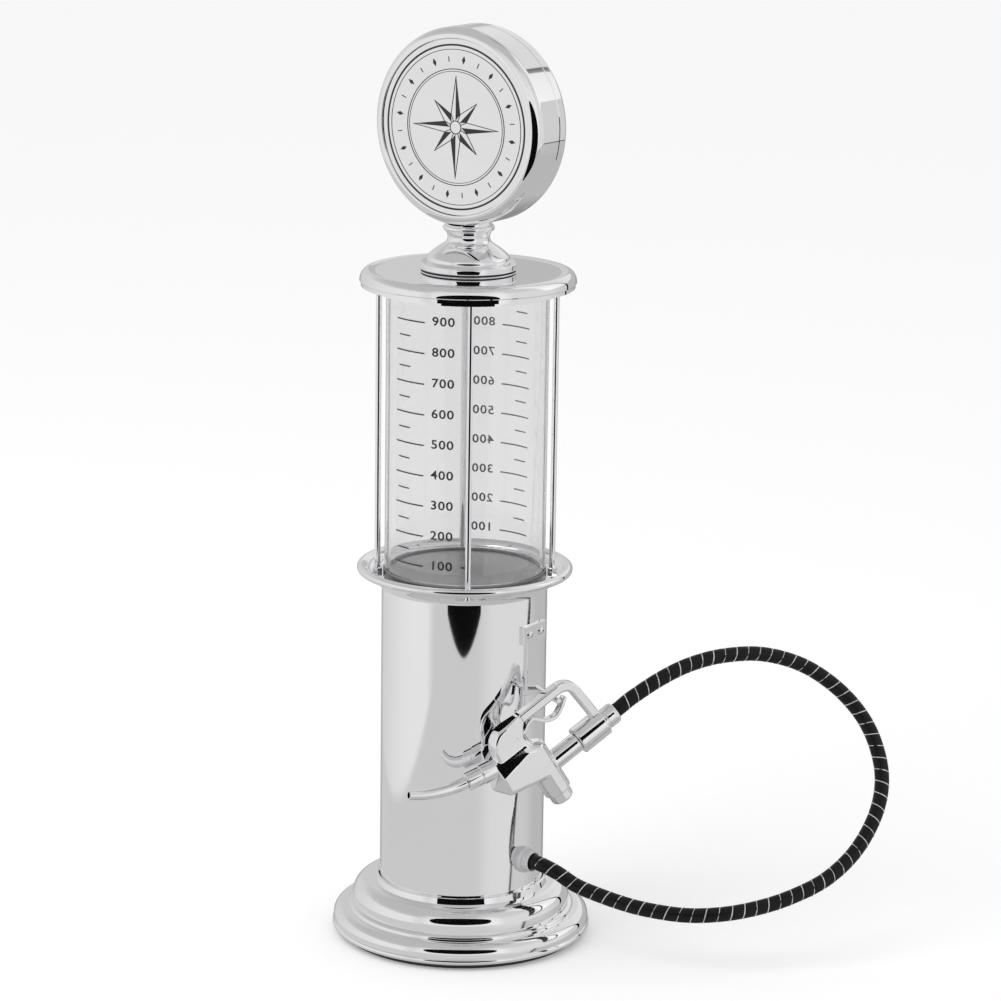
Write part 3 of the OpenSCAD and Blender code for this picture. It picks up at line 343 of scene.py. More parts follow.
DARK = Finish("moulded_plastic", Slot.DARK, (0.026, 0.026, 0.028), (0.038, 0.038, 0.041), (0.42, 0.55),
              patch=150.0, grain=1600.0, grain_depth=0.00004)
RED = Finish("switch_plastic", Slot.RED, (0.48, 0.025, 0.018), (0.58, 0.036, 0.024), (0.25, 0.35),
             patch=300.0)
LEAD = Finish("lead_sleeve", Slot.LEAD, (0.42, 0.025, 0.025), (0.52, 0.035, 0.035), (0.4, 0.5),
              patch=300.0)
TUBE = Finish("milky_tube", Slot.TUBE, (0.66, 0.70, 0.72), (0.74, 0.78, 0.8), (0.2, 0.3),
              patch=80.0, transmission=0.35, ior=1.42)
NYLON = Finish("white_nylon", Slot.WHITE, (0.74, 0.72, 0.66), (0.82, 0.80, 0.75), (0.4, 0.5),
               patch=120.0)
STEEL = Finish("plain_steel", Slot.STEEL, (0.52, 0.52, 0.53), (0.66, 0.66, 0.67), (0.22, 0.36),
               metal=1.0, patch=200.0, grain=3000.0, grain_depth=0.00001)
BATTERY = BandedWrap("battery_sleeve", Slot.BATTERY, (0.04, 0.13, 0.055), (0.06, 0.18, 0.085), (0.25, 0.35))
BRASS = Finish("contact_brass", Slot.BRASS, (0.64, 0.48, 0.2), (0.76, 0.6, 0.3), (0.2, 0.35),
               metal=1.0, patch=200.0)

# Nodes that keep their solid and get a finish
KEPT_NODES: dict[Finish, tuple[str, ...]] = {
    RUBBER: ("foot_ring", "plug_seal", "valve_seal"),
    DARK: ("base_plate", "battery_box", "battery_cover", "switch_body", "pump_bracket", "pump_housing",
           "pump_cover"),
    RED: ("power_switch",),
    LEAD: ("wires",),
    TUBE: ("feed_tube", "outlet_tube"),
    NYLON: ("impeller",),
    STEEL: ("base_screws", "sign_bolt", "sign_nut", "motor", "motor_shaft", "trigger_pin", "valve_stem",
            "valve_spring"),
    BATTERY: ("batteries",),
    BRASS: ("battery_contacts",),
    SEAL: ("lower_seal", "upper_seal"),
    GLAND: ("gland_nut",),
    FLOOR_METAL: ("tank_floor",),
}


# Modelling


def clear_selection() -> None:
    """Leaves edit mode and deselects everything."""
    if bpy.context.object is not None and bpy.context.object.mode != "OBJECT":
        bpy.ops.object.mode_set(mode="OBJECT")
    bpy.ops.object.select_all(action="DESELECT")


def pick(piece: Piece) -> None:
    """Selects one piece alone and makes it active.

    Args:
        piece: the piece to select.
    """
    clear_selection()
    piece.select_set(True)
    bpy.context.view_layer.objects.active = piece


def named(name: str) -> Piece:
    """Names the active object and its mesh.

    Args:
        name: the new name.

    Returns:
        The object.
    """
    piece = bpy.context.object
    piece.name = piece.data.name = name
    return piece


def smooth(piece: Piece, angle: float = 32.0) -> Piece:
    """Shades a piece smooth.

    Args:
        piece: the piece to shade.
        angle: edges sharper than this stay sharp, in degrees.

    Returns:
        The same piece.
    """
    pick(piece)
    bpy.ops.object.shade_smooth_by_angle(angle=math.radians(angle))
    return piece


def modify(piece: Piece, kind: str, **values: Any) -> Piece:
    """Adds a modifier to a piece and applies it.

    Args:
        piece: the piece to change.
        kind: Blender's name of the modifier.
        values: properties of the modifier.

    Returns:
        The same piece.
    """
    pick(piece)
    modifier = piece.modifiers.new(kind.lower(), kind)
    for key, value in values.items():
        setattr(modifier, key, value)
    bpy.ops.object.modifier_apply(modifier=modifier.name)
    return piece


def rotated(angle: float, axis: str) -> Matrix:
    """A turn about an axis, in degrees."""
    return Matrix.Rotation(math.radians(angle), 4, axis)


def moved(x: float = 0.0, y: float = 0.0, z: float = 0.0) -> Matrix:
    """A move, in millimetres."""
    return Matrix.Translation((x * MM, y * MM, z * MM))


def sized(x: float, y: float, z: float) -> Matrix:
    """A stretch from one metre to three sides, in millimetres."""
    return Matrix.Diagonal((x * MM, y * MM, z * MM, 1.0))


def place(piece: Piece, where: Matrix) -> Piece:
    """Moves a piece to its place and applies the move to its mesh.

    Args:
        piece: the piece to move.
        where: its place.

    Returns:
        The same piece.
    """
    pick(piece)
    piece.matrix_world = where
    bpy.ops.object.transform_apply(location=True, rotation=True, scale=True)
    return piece


def box(name: str, where: Matrix) -> Piece:
    """Makes a box.

    Args:
        name: name of the new piece.
        where: its place and its size, from a cube of one metre.

    Returns:
        The new piece.
    """
    clear_selection()
    bpy.ops.mesh.primitive_cube_add(size=1.0)
    return place(named(name), where)


def combine(piece: Piece, other: Piece, operation: str = "DIFFERENCE") -> Piece:
    """Cuts one piece from another, or runs the two together, and removes the first.

    Args:
        piece: the piece that stays.
        other: the piece that goes.
        operation: what is done with it.

    Returns:
        The piece that stays.
    """
    modify(piece, "BOOLEAN", operation=operation, object=other, solver="EXACT")
    bpy.data.objects.remove(other)
    return piece


def join(name: str, pieces: Sequence[Piece]) -> Piece:
    """Joins pieces into one mesh.

    Args:
        name: name of the joined piece.
        pieces: the pieces, of which the first one stays.

    Returns:
        The joined piece.
    """
    pick(pieces[0])
    for piece in pieces[1:]:
        piece.select_set(True)
    if len(pieces) > 1:
        bpy.ops.object.join()
    return named(name)


def copy_of(piece: Piece) -> Piece:
    """Copies a piece with its mesh.

    Args:
        piece: the piece to copy.

    Returns:
        The copy.
    """
    pick(piece)
    bpy.ops.object.duplicate(linked=False)
    return bpy.context.object


def draw(name: str, points: Sequence[Vector]) -> Piece:
    """Starts a mesh from a plane shrunk to one point and draws a line of edges on from it, left in edit mode.

    Args:
        name: name of the new piece.
        points: the line's points, in metres.

    Returns:
        The new piece.
    """
    clear_selection()
    bpy.ops.mesh.primitive_plane_add(size=MM)
    piece = named(name)
    bpy.ops.object.mode_set(mode="EDIT")
    bpy.ops.mesh.select_all(action="SELECT")
    bpy.ops.mesh.merge(type="CENTER")
    bpy.ops.transform.translate(value=points[0])
    for here, there in zip(points, points[1:]):
        bpy.ops.mesh.extrude_region_move(TRANSFORM_OT_translate={"value": there - here})
    bpy.ops.mesh.select_all(action="SELECT")
    return piece


def close_mesh() -> None:
    """Merges doubles, drops empty faces and turns the faces outwards, from edit mode back to object mode."""
    bpy.ops.mesh.select_all(action="SELECT")
    bpy.ops.mesh.remove_doubles(threshold=MERGE)
    bpy.ops.mesh.dissolve_degenerate(threshold=EMPTY)
    bpy.ops.mesh.select_all(action="SELECT")
    bpy.ops.mesh.normals_make_consistent(inside=False)
    bpy.ops.object.mode_set(mode="OBJECT")


def turn(name: str, profile: Sequence[Pair], steps: int = 160, angle: float = 32.0) -> Piece:
    """Turns a closed profile about the Z axis.

    Args:
        name: name of the new piece.
        profile: points of radius and height.
        steps: sides of the turned shape.
        angle: edges sharper than this stay sharp.

    Returns:
        The turned piece.
    """
    points = [Vector((r, 0.0, h)) * MM for r, h in (*profile, profile[0])]
    piece = draw(name, points)
    bpy.ops.mesh.spin(steps=steps, angle=math.tau, center=(0, 0, 0), axis=(0, 0, 1))
    close_mesh()
    return smooth(piece, angle)


def rod(name: str, radius: float, low: float, high: float, steps: int) -> Piece:
    """A plain round rod along Z, from one height to another."""
    return turn(name, [(0, low), (radius, low), (radius, high), (0, high)], steps)


def plate(name: str, outline: Sequence[Pair], width: float, edge: float = 0.0, segments: int = 3) -> Piece:
    """Cuts a plate along an outline of x and z, with its width along y and rounded edges.

    Args:
        name: name of the new piece.
        outline: corners of the plate.
        width: its width, half on each side of the x and z plane.
        edge: size of the rounding, or none.
        segments: steps of the rounding.

    Returns:
        The new piece.
    """
    piece = draw(name, [Vector((x, -width / 2, z)) * MM for x, z in (*outline, outline[0])])
    bpy.ops.mesh.remove_doubles(threshold=MERGE)
    bpy.ops.mesh.select_all(action="SELECT")
    bpy.ops.mesh.edge_face_add()
    bpy.ops.mesh.extrude_region_move(TRANSFORM_OT_translate={"value": (0, width * MM, 0)})
    close_mesh()
    if edge > 0:
        modify(piece, "BEVEL", width=edge * MM, segments=segments, limit_method="ANGLE",
               angle_limit=math.radians(PLATE_SHARP), harden_normals=False)
    return smooth(piece, PLATE_SHARP)


def arc(c: Pair, rx: float, rz: float, a0: float, a1: float, n: int = 12) -> list[Pair]:
    """Points along a round or oval arc.

    Args:
        c: its middle.
        rx: its radius across.
        rz: its radius along the height.
        a0: angle of its start, in degrees.
        a1: angle of its end.
        n: number of steps.

    Returns:
        The points.
    """
    angles = [math.radians(a0 + (a1 - a0) * i / n) for i in range(n + 1)]
    return [(c[0] + rx * math.cos(a), c[1] + rz * math.sin(a)) for a in angles]


def swell(p: Pair, q: Pair, s: float, n: int = 14) -> list[Pair]:
    """Points along a round arc between two points.

    Args:
        p: the start.
        q: the end.
        s: how far it swells to the right of the way.
        n: number of steps.

    Returns:
        The points.
    """
    a, b = Vector(p), Vector(q)
    d = b - a
    side = Vector((d.y, -d.x)) / d.length
    sign = math.copysign(1.0, s)
    r = (d.length**2 / 4 + s * s) / (2 * abs(s))
    m = (a + b) / 2 + side * (s - sign * r)
    half = math.asin(d.length / 2 / r)
    mid = math.atan2(side.y * sign, side.x * sign)
    angles = [mid + sign * (2 * i / n - 1) * half for i in range(n + 1)]
    return [(m.x + r * math.cos(t), m.y + r * math.sin(t)) for t in angles]


def soften(corners: Iterable[Triple], n: int = 5) -> list[Pair]:
    """Rounds the corners of a closed profile.

    Args:
        corners: radius, height and rounding of each corner.
        n: steps of each rounding.

    Returns:
        The points of the rounded profile.
    """
    spots = list(corners)
    out: list[Pair] = []
    for i, (x, y, radius) in enumerate(spots):
        here = Vector((x, y))
        before = Vector(spots[i - 1][:2]) - here
        after = Vector(spots[(i + 1) % len(spots)][:2]) - here
        if radius <= 0:
            out.append((x, y))
            continue
        a = here + before.normalized() * min(radius, before.length * 0.49)
        b = here + after.normalized() * min(radius, after.length * 0.49)
        for k in range(n + 1):
            t = k / n
            p = a * (1 - t) ** 2 + here * 2 * t * (1 - t) + b * t * t
            out.append((p.x, p.y))
    return out


def spline(points: Sequence[Vector], steps: int) -> list[Vector]:
    """A smooth curve through points.

    Args:
        points: the points it goes through.
        steps: steps between each two of them.

    Returns:
        The curve's points.
    """
    out: list[Vector] = []
    last = len(points) - 1
    for i in range(last):
        a, b, c, d = points[max(i - 1, 0)], points[i], points[i + 1], points[min(i + 2, last)]
        for j in range(steps):
            t = j / steps
            out.append(b + 0.5 * t * (c - a + t * (2 * a - 5 * b + 4 * c - d + t * (3 * (b - c) + d - a))))
    return [*out, points[-1]]


def even(points: Sequence[Vector], step: float) -> list[Vector]:
    """Divides a line evenly.

    Args:
        points: the line's points.
        step: about how far apart the new points are.

    Returns:
        The new points.
    """
    runs = [0.0]
    for a, b in zip(points, points[1:]):
        runs.append(runs[-1] + (b - a).length)
    count = max(2, round(runs[-1] / step))
    out: list[Vector] = []
    k = 0
    for i in range(count + 1):
        want = runs[-1] * i / count
        while k < len(runs) - 2 and runs[k + 1] < want:
            k += 1
        out.append(points[k].lerp(points[k + 1], (want - runs[k]) / (runs[k + 1] - runs[k])))
    return out


def ways(points: Sequence[Vector]) -> list[tuple[Vector, Vector, Vector]]:
    """Frames along a line that turn as little as possible.

    Args:
        points: the line's points.

    Returns:
        The direction, the side and the second side at each point.
    """
    out: list[tuple[Vector, Vector, Vector]] = []
    side = Vector((0.0, 0.0, 1.0))
    last = len(points) - 1
    for i in range(last + 1):
        along = (points[min(i + 1, last)] - points[max(i - 1, 0)]).normalized()
        side = (side - along * side.dot(along)).normalized()
        out.append((along, side, along.cross(side)))
    return out


def skin(name: str, rings: Sequence[Sequence[Vector]]) -> Piece:
    """A closed tube over rings of points, as cords are made.

    Args:
        name: name of the new piece.
        rings: rings with the same number of points, along the tube.

    Returns:
        The new piece.
    """
    n = len(rings[0])
    verts = [p for ring in rings for p in ring]
    faces = [
        (i * n + j, i * n + (j + 1) % n, (i + 1) * n + (j + 1) % n, (i + 1) * n + j)
        for i in range(len(rings) - 1)
        for j in range(n)
    ]
    faces += [tuple(reversed(range(n))), tuple(range(len(verts) - n, len(verts)))]
    mesh = bpy.data.meshes.new(name)
    mesh.from_pydata(verts, [], faces)
    piece = bpy.data.objects.new(name, mesh)
    bpy.context.scene.collection.objects.link(piece)
    pick(piece)
    bpy.ops.object.mode_set(mode="EDIT")
    close_mesh()
    return smooth(piece, 50)


def dress(piece: Piece, finish: Finish) -> None:
    """Gives a piece its finish."""
    piece.data.materials.clear()
    piece.data.materials.append(finish.make())


def fit(piece: Piece, body: Body, finish: Finish, *nodes: str) -> Piece:
    """Dresses a piece, hangs it on its body and hides the nodes that it stands for.

    Args:
        piece: the finished piece.
        body: the body that it moves with.
        finish: its finish.
        nodes: the nodes that it replaces.

    Returns:
        The same piece.
    """
    modify(piece, "WEIGHTED_NORMAL", mode="FACE_AREA", keep_sharp=True)
    dress(piece, finish)
    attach(piece, body.value)
    if nodes:
        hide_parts(*nodes)
    LOG.info("%s on %s, %d faces", piece.name, body.value, len(piece.data.polygons))
    return piece


# Stage


@dataclass(frozen=True)
class Panel:
    """A bright panel of the tent, in degrees to the side of the camera and above the horizon."""

    middle: float
    half: float
    low: float
    lift: float
    high: float
    soft: float
    gain: float = 1.0
    edge: float = 0.15
    fade: float = 8.0

    def level(self, bench: Bench, side: Socket, rise: Socket) -> Socket:
        """How far inside the panel a direction lies. Its lower edge is bowed.

        Args:
            bench: the world's nodes.
            side: angle of the direction to the side.
            rise: angle of the direction above the horizon.

        Returns:
            A number from 0 to 1.
        """
        across = bench.math("DIVIDE", bench.math("SUBTRACT", side, self.middle), self.half)
        bow = bench.math("MULTIPLY_ADD", bench.math("MULTIPLY", across, across), self.lift, self.low)
        width = bench.span(bench.math("ABSOLUTE", across), 1.0 - self.soft, 1.0 + self.soft, 1.0, 0.0)
        foot = bench.span(bench.math("SUBTRACT", rise, bow), -self.edge, self.edge)
        top = bench.span(rise, self.high, self.high + self.fade, 1.0, 0.0)
        return bench.math("MULTIPLY", bench.math("MULTIPLY", width, foot), top)


@dataclass
class Studio:
    """Camera, white tent with a dark opening round the camera, floor and one soft lamp."""

    distance: float = 1900.0
    height: float = 700.0
    turn: float = 34.0
    pitch: float = 13.502
    yaw: float = 0.569
    roll: float = 0.825
    lens: float = 130.02
    sensor: float = 36.0
    floor_size: float = 12000.0
    floor_grey: float = 0.86
    floor_rough: float = 0.9
    floor_glow: float = 0.2
    tent_fill: float = 0.85
    tent_grey: float = 0.63
    roof_grey: float = 0.52
    roof_rise: Pair = (20.0, 45.0)
    left_panel: Panel = Panel(-105.0, 58.0, -18.2, 1.5, 22.0, 0.13)
    left_side: Pair = (-165.0, -70.0)
    left_gain: Pair = (0.04, 0.21)
    right_panel: Panel = Panel(70.0, 40.0, -20.0, 0.0, 60.0, 0.4, 0.12)
    rear_panel: Panel = Panel(135.0, 44.0, 13.0, 0.0, 60.0, 0.1, 0.3)
    front_panel: Panel = Panel(0.0, 42.0, -13.0, 1.0, 44.0, 0.2, 0.2)
    back_side: Pair = (146.0, 172.0)
    back_rise: Pair = (-6.0, 2.0)
    back_shade: float = 0.24
    seam_rise: float = -11.0
    seam_slope: float = 6.51
    seam_side: float = 200.8
    seam_half: Pair = (1.2, 2.2)
    seam_edge: float = 0.5
    seam_shade: float = 0.6
    beyond_shade: float = 0.12
    card_off: float = 630.0
    card_tip: Pair = (258.0, 17.5)
    card_half: float = 395.0
    card_high: float = 610.0
    card_grey: float = 0.004
    lamp_power: float = 9.0
    lamp_size: float = 1.2
    lamp_spot: Triple = (-0.5, -1.2, 1.5)
    lamp_aim: Triple = (0.0, 0.0, 0.2)

    def build(self) -> None:
        """Sets up all of the stage."""
        bpy.context.scene.view_settings.view_transform = "Standard"
        self.camera()
        self.tent()
        self.card()
        self.floor()
        self.lamp()

    def camera(self) -> None:
        """Puts the camera where the photograph was taken from."""
        az, pitch, yaw, roll = (math.radians(a) for a in (self.turn, self.pitch, self.yaw, self.roll))
        ahead = Vector((-math.sin(az - yaw), math.cos(az - yaw), 0.0))
        right = Vector((ahead.y, -ahead.x, 0.0))
        forward = ahead * math.cos(pitch) - Vector((0, 0, math.sin(pitch)))
        up = ahead * math.sin(pitch) + Vector((0, 0, math.cos(pitch)))
        x_axis = right * math.cos(roll) + up * math.sin(roll)
        y_axis = up * math.cos(roll) - right * math.sin(roll)
        data = bpy.data.cameras.new("camera")
        data.lens = self.lens
        data.sensor_width = self.sensor
        camera = bpy.data.objects.new("camera", data)
        bpy.context.scene.collection.objects.link(camera)
        aimed = Matrix((x_axis, y_axis, -forward)).transposed().to_4x4()
        spot = Vector((self.distance * math.sin(az), -self.distance * math.cos(az), self.height)) * MM
        camera.matrix_world = Matrix.Translation(spot) @ aimed
        bpy.context.scene.camera = camera

    def tent(self) -> None:
        """Lights the object from all round: white to the camera, and with panels in the reflections."""
        world = bpy.data.worlds.new("white_tent")
        bpy.context.scene.world = world
        world.use_nodes = True
        bench = Bench(world.node_tree)
        seen = bench.seen()
        unseen = bench.math("SUBTRACT", 1.0, seen)
        glossy = bench.add("ShaderNodeLightPath").outputs["Is Glossy Ray"]
        mirrored = bench.math("MULTIPLY", glossy, unseen)
        lit = bench.math("SUBTRACT", unseen, mirrored)
        level = bench.math("MULTIPLY_ADD", mirrored, self.reflections(bench), seen)
        level = bench.math("MULTIPLY_ADD", lit, self.tent_fill, level)
        bench.put(world.node_tree.nodes["Background"].inputs["Strength"], level)
        world.node_tree.nodes["Background"].inputs["Color"].default_value = (1, 1, 1, 1)

    def reflections(self, bench: Bench) -> Socket:
        """How bright the tent is in each direction, for mirrored rays.

        Args:
            bench: the world's nodes.

        Returns:
            The brightness.
        """
        az = math.radians(self.turn)
        way = bench.add("ShaderNodeTexCoord").outputs["Generated"]
        parts = []
        for axis in ((math.sin(az), -math.cos(az), 0), (math.cos(az), math.sin(az), 0), (0, 0, 1)):
            node = bench.add("ShaderNodeVectorMath", operation="DOT_PRODUCT")
            bench.put(node.inputs[0], way)
            node.inputs[1].default_value = axis
            parts.append(node.outputs["Value"])
        degrees = 180 / math.pi
        side = bench.math("MULTIPLY", bench.math("ARCTAN2", parts[1], parts[0]), degrees)
        rise = bench.math("MULTIPLY", bench.math("ARCSINE", parts[2]), degrees)
        behind = bench.span(bench.math("ABSOLUTE", side), *self.back_side, 0.0, self.back_shade)
        back = bench.math("MULTIPLY", behind, bench.span(rise, *self.back_rise, 1.0, 0.0))
        low = bench.math("MINIMUM", rise, self.seam_rise)
        seam = bench.math("MULTIPLY_ADD", low, self.seam_slope, self.seam_side)
        beyond = bench.math("SUBTRACT", side, seam)
        dim = bench.math("MULTIPLY", bench.span(beyond, -self.seam_edge, self.seam_edge), self.beyond_shade)
        line = bench.span(bench.math("ABSOLUTE", beyond), *self.seam_half, self.seam_shade, 0.0)
        level = bench.span(rise, *self.roof_rise, self.tent_grey, self.roof_grey)
        wash = bench.span(side, *self.left_side, *self.left_gain)
        level = bench.math("MULTIPLY_ADD", self.left_panel.level(bench, side, rise), wash, level)
        for panel in (self.right_panel, self.rear_panel, self.front_panel):
            level = bench.math("MULTIPLY_ADD", panel.level(bench, side, rise), panel.gain, level)
        for shade in (back, dim, line):
            level = bench.math("SUBTRACT", level, shade)
        return level

    def paint(self, piece: Piece, name: str, grey: float, rough: float) -> bpy.types.Material:
        """Gives a piece of the stage a dull grey.

        Args:
            piece: the piece.
            name: name of the material.
            grey: its grey.
            rough: its roughness.

        Returns:
            The material.
        """
        material = bpy.data.materials.new(name)
        material.use_nodes = True
        shader = material.node_tree.nodes["Principled BSDF"]
        shader.inputs["Base Color"].default_value = (grey, grey, grey, 1.0)
        shader.inputs["Roughness"].default_value = rough
        shader.inputs["Specular IOR Level"].default_value = 0.0
        piece.data.materials.append(material)
        return material

    def card(self) -> None:
        """The dark opening round the camera, a rounded card with a tip at the floor, for reflections only."""
        wide, high = self.card_tip
        middle = (self.card_high + high) / 2
        right = [(wide * i / 10, high * (i / 10) ** 1.5) for i in range(11)]
        right.append((wide, high + 9.0))
        right += arc((wide, middle), self.card_half - wide, middle - high - 10.0, -80, 0, 8)
        right += arc((0.0, middle), self.card_half, self.card_high - middle, 8, 90, 12)
        edge = [*right, *[(-x, z) for x, z in reversed(right)]]
        piece = draw("dark_card", [Vector((x, -self.card_off, z)) * MM for x, z in edge])
        bpy.ops.mesh.remove_doubles(threshold=MERGE)
        bpy.ops.mesh.select_all(action="SELECT")
        bpy.ops.mesh.edge_face_add()
        bpy.ops.object.mode_set(mode="OBJECT")
        place(piece, rotated(self.turn, "Z"))
        self.paint(piece, "black_card", self.card_grey, 1.0)
        piece.visible_camera = False
        piece.visible_diffuse = False
        piece.visible_transmission = False
        piece.visible_shadow = False

    def floor(self) -> None:
        """A plain pale floor that keeps the object's shadow."""
        clear_selection()
        bpy.ops.mesh.primitive_plane_add(size=self.floor_size * MM)
        piece = named("floor")
        material = self.paint(piece, "pale_floor", self.floor_grey, self.floor_rough)
        bench = Bench(material.node_tree)
        shader = material.node_tree.nodes["Principled BSDF"]
        shader.inputs["Emission Color"].default_value = (1.0, 1.0, 1.0, 1.0)
        bench.put(shader.inputs["Emission Strength"], bench.math("MULTIPLY", bench.seen(), self.floor_glow))
        piece.visible_glossy = False

    def lamp(self) -> None:
        """One large soft lamp above the left of the camera."""
        data = bpy.data.lights.new("soft_lamp", "AREA")
        data.energy = self.lamp_power
        data.size = self.lamp_size
        lamp = bpy.data.objects.new("soft_lamp", data)
        bpy.context.scene.collection.objects.link(lamp)
        spot = Vector(self.lamp_spot)
        aim = (Vector(self.lamp_aim) - spot).to_track_quat("-Z", "Y").to_matrix().to_4x4()
        lamp.matrix_world = Matrix.Translation(spot) @ aim
        lamp.visible_glossy = False


# The dispenser


@dataclass
class Hose:
    """Black hose with a thin silver wire wound round it, from the gland to the gun."""

    diameter: float = 8.0
    pitch: float = 6.9
    wire: float = 0.6
    wire_sink: float = 0.05
    wire_steps: int = 22
    wire_sides: int = 6
    groove: float = 0.16
    groove_w: float = 0.8
    step: float = 0.6
    curve_steps: int = 16
    bare: float = 12.0
    length: float = 0.45
    sides: int = 28
    exit: Triple = (0.051612, -0.006337, 0.05)
    blend_low: Triple = (0.19, 0.11, 0.060)
    blend_high: Triple = (0.19, 0.11, 0.128)
    route: tuple[Triple, ...] = (
        (0.043672, -0.005362, 0.05), (0.055583, -0.006825, 0.05), (0.066, -0.005, 0.0465),
        (0.075, -0.002, 0.041), (0.084, 0.0, 0.038), (0.102, 0.004, 0.034), (0.118, 0.008, 0.032),
        (0.136, 0.015, 0.031), (0.152, 0.025, 0.032), (0.165, 0.039, 0.034), (0.177, 0.055, 0.038),
        (0.188, 0.075, 0.045), (0.195, 0.095, 0.057), (0.198, 0.111, 0.074), (0.196, 0.121, 0.091),
        (0.189, 0.126, 0.108), (0.179, 0.126, 0.124), (0.165, 0.121, 0.139), (0.149, 0.111, 0.151),
        (0.133, 0.095, 0.158), (0.119, 0.076, 0.159), (0.108, 0.059, 0.156), (0.099, 0.044, 0.150),
        (0.089932, 0.030696, 0.141411), (0.086376, 0.025006, 0.137053), (0.081554, 0.017289, 0.131144),
    )

    def build(self) -> None:
        """Makes the hose and its wire, in place of the hose node."""
        line = even(spline([Vector(p) for p in self.route], self.curve_steps), self.step * MM)
        hose = self.sleeve(line)
        wire = self.winding(line)
        for piece, finish in ((hose, HOSE), (wire, WIRE)):
            dress(piece, finish)
            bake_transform(piece)
            LOG.info("%s, %d faces", piece.name, len(piece.data.polygons))
        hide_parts("hose")

    def turn_at(self, run: float) -> float:
        """Angle of the wire at a length along the hose; it winds to the left."""
        return -math.tau * run / (self.pitch * MM)

    def sleeve(self, line: Sequence[Vector]) -> Piece:
        """The black hose, a little drawn in under the wire.

        Args:
            line: the middle of the hose.

        Returns:
            The new piece.
        """
        step = (line[1] - line[0]).length
        rings = []
        for i, (point, (_, a, b)) in enumerate(zip(line, ways(line))):
            run = i * step
            ring = []
            for j in range(self.sides):
                angle = math.tau * j / self.sides
                gap = ((angle - self.turn_at(run)) / math.tau + 0.5) % 1.0 - 0.5
                dip = self.groove * math.exp(-((gap * self.pitch / self.groove_w) ** 2))
                radius = (self.diameter / 2 - dip) * MM
                ring.append(point + (a * math.cos(angle) + b * math.sin(angle)) * radius)
            rings.append(ring)
        return skin("hose_sleeve", rings)

    def winding(self, line: Sequence[Vector]) -> Piece:
        """The silver wire, half sunk in the hose.

        Args:
            line: the middle of the hose.

        Returns:
            The new piece.
        """
        step = (line[1] - line[0]).length
        frames = ways(line)
        total = step * (len(line) - 1)
        count = int((total - 2 * self.bare * MM) / (self.pitch * MM) * self.wire_steps)
        centres = []
        for i in range(count + 1):
            run = self.bare * MM + (total - 2 * self.bare * MM) * i / count
            k = min(int(run / step), len(line) - 2)
            t = run / step - k
            _, a, b = frames[k]
            angle = self.turn_at(run)
            out = (a * math.cos(angle) + b * math.sin(angle)) * (self.diameter / 2 - self.wire_sink) * MM
            centres.append(line[k].lerp(line[k + 1], t) + out)
        rings = []
        spots = [math.tau * j / self.wire_sides for j in range(self.wire_sides)]
        for point, (_, a, b) in zip(centres, ways(centres)):
            rings.append([point + (a * math.cos(s) + b * math.sin(s)) * self.wire / 2 * MM for s in spots])
        return skin("hose_wire", rings)


@dataclass
class Base:
    """Stepped base shell and the column on it."""

    rim_r: float = 71.0
    rim_low: float = 3.2
    bead: float = 1.8
    step_r: float = 59.69
    groove_h: float = 17.0
    ring_w: float = 2.6
    height: float = 33.0
    wall: float = 2.0
    lower_round: float = 5.508
    upper_round: float = 8.453
    column_r: float = 45.0
    column_wall: float = 1.5
    column_low: float = 6.0
    column_top: float = 200.0
    neck_gap: float = 0.15
    neck_wall: float = 2.0
    neck_flare: float = 0.8
    neck_h: float = 3.4

    def build(self) -> None:
        """Makes the shell and the column."""
        fit(self.shell(), Body.STAND, CHROME, "base_shell")
        fit(self.column(), Body.STAND, CHROME, "column_tube")

    def shell(self) -> Piece:
        """The cast shell: rim bead, two rounded steps with a small ring between them, and a flared neck.

        Returns:
            The new piece.
        """
        bore = self.column_r + self.neck_gap
        neck = bore + self.neck_wall
        sill = self.groove_h - 2.5
        r, q = self.lower_round, self.upper_round
        lower = (self.rim_r - 0.6 - r, sill - r)
        upper = (self.step_r - q, self.height - self.neck_h - q)
        profile = [
            (self.rim_r - self.wall - 1.0, self.rim_low),
            *arc((self.rim_r - self.bead, self.rim_low + self.bead), self.bead, self.bead, -90, 60),
            (lower[0] + r, self.rim_low + 2 * self.bead + 0.4),
            *arc(lower, r, r, 0, 90, 20),
            *swell((self.step_r + self.ring_w, sill), (self.step_r + 0.8, self.groove_h - 0.2), 0.6, 8),
            (self.step_r, self.groove_h),
            *arc(upper, q, q, 0, 90, 24),
            (neck + self.neck_flare, self.height - self.neck_h),
            (neck, self.height - 0.3), (neck - 0.4, self.height), (bore + 0.7, self.height),
            (bore, self.height - 1.4), (bore, self.height - 6.0),
            *arc(upper, q - self.wall, q - self.wall, 84, 0, 10),
            (self.step_r - self.wall, self.groove_h - 0.5),
            (self.step_r + 0.4, lower[1] + r - self.wall + 0.6),
            *arc(lower, r - self.wall, r - self.wall, 90, 0, 8),
        ]
        return turn("base_shell_turned", profile, 224, 24)

    def column(self) -> Piece:
        """The polished column tube.

        Returns:
            The new piece.
        """
        inner = self.column_r - self.column_wall
        corners = [
            (inner, self.column_low, 0.2), (self.column_r, self.column_low, 0.2),
            (self.column_r, self.column_top, 0.2), (inner, self.column_top, 0.2),
        ]
        return turn("column_polished", soften(corners), 224, 24)


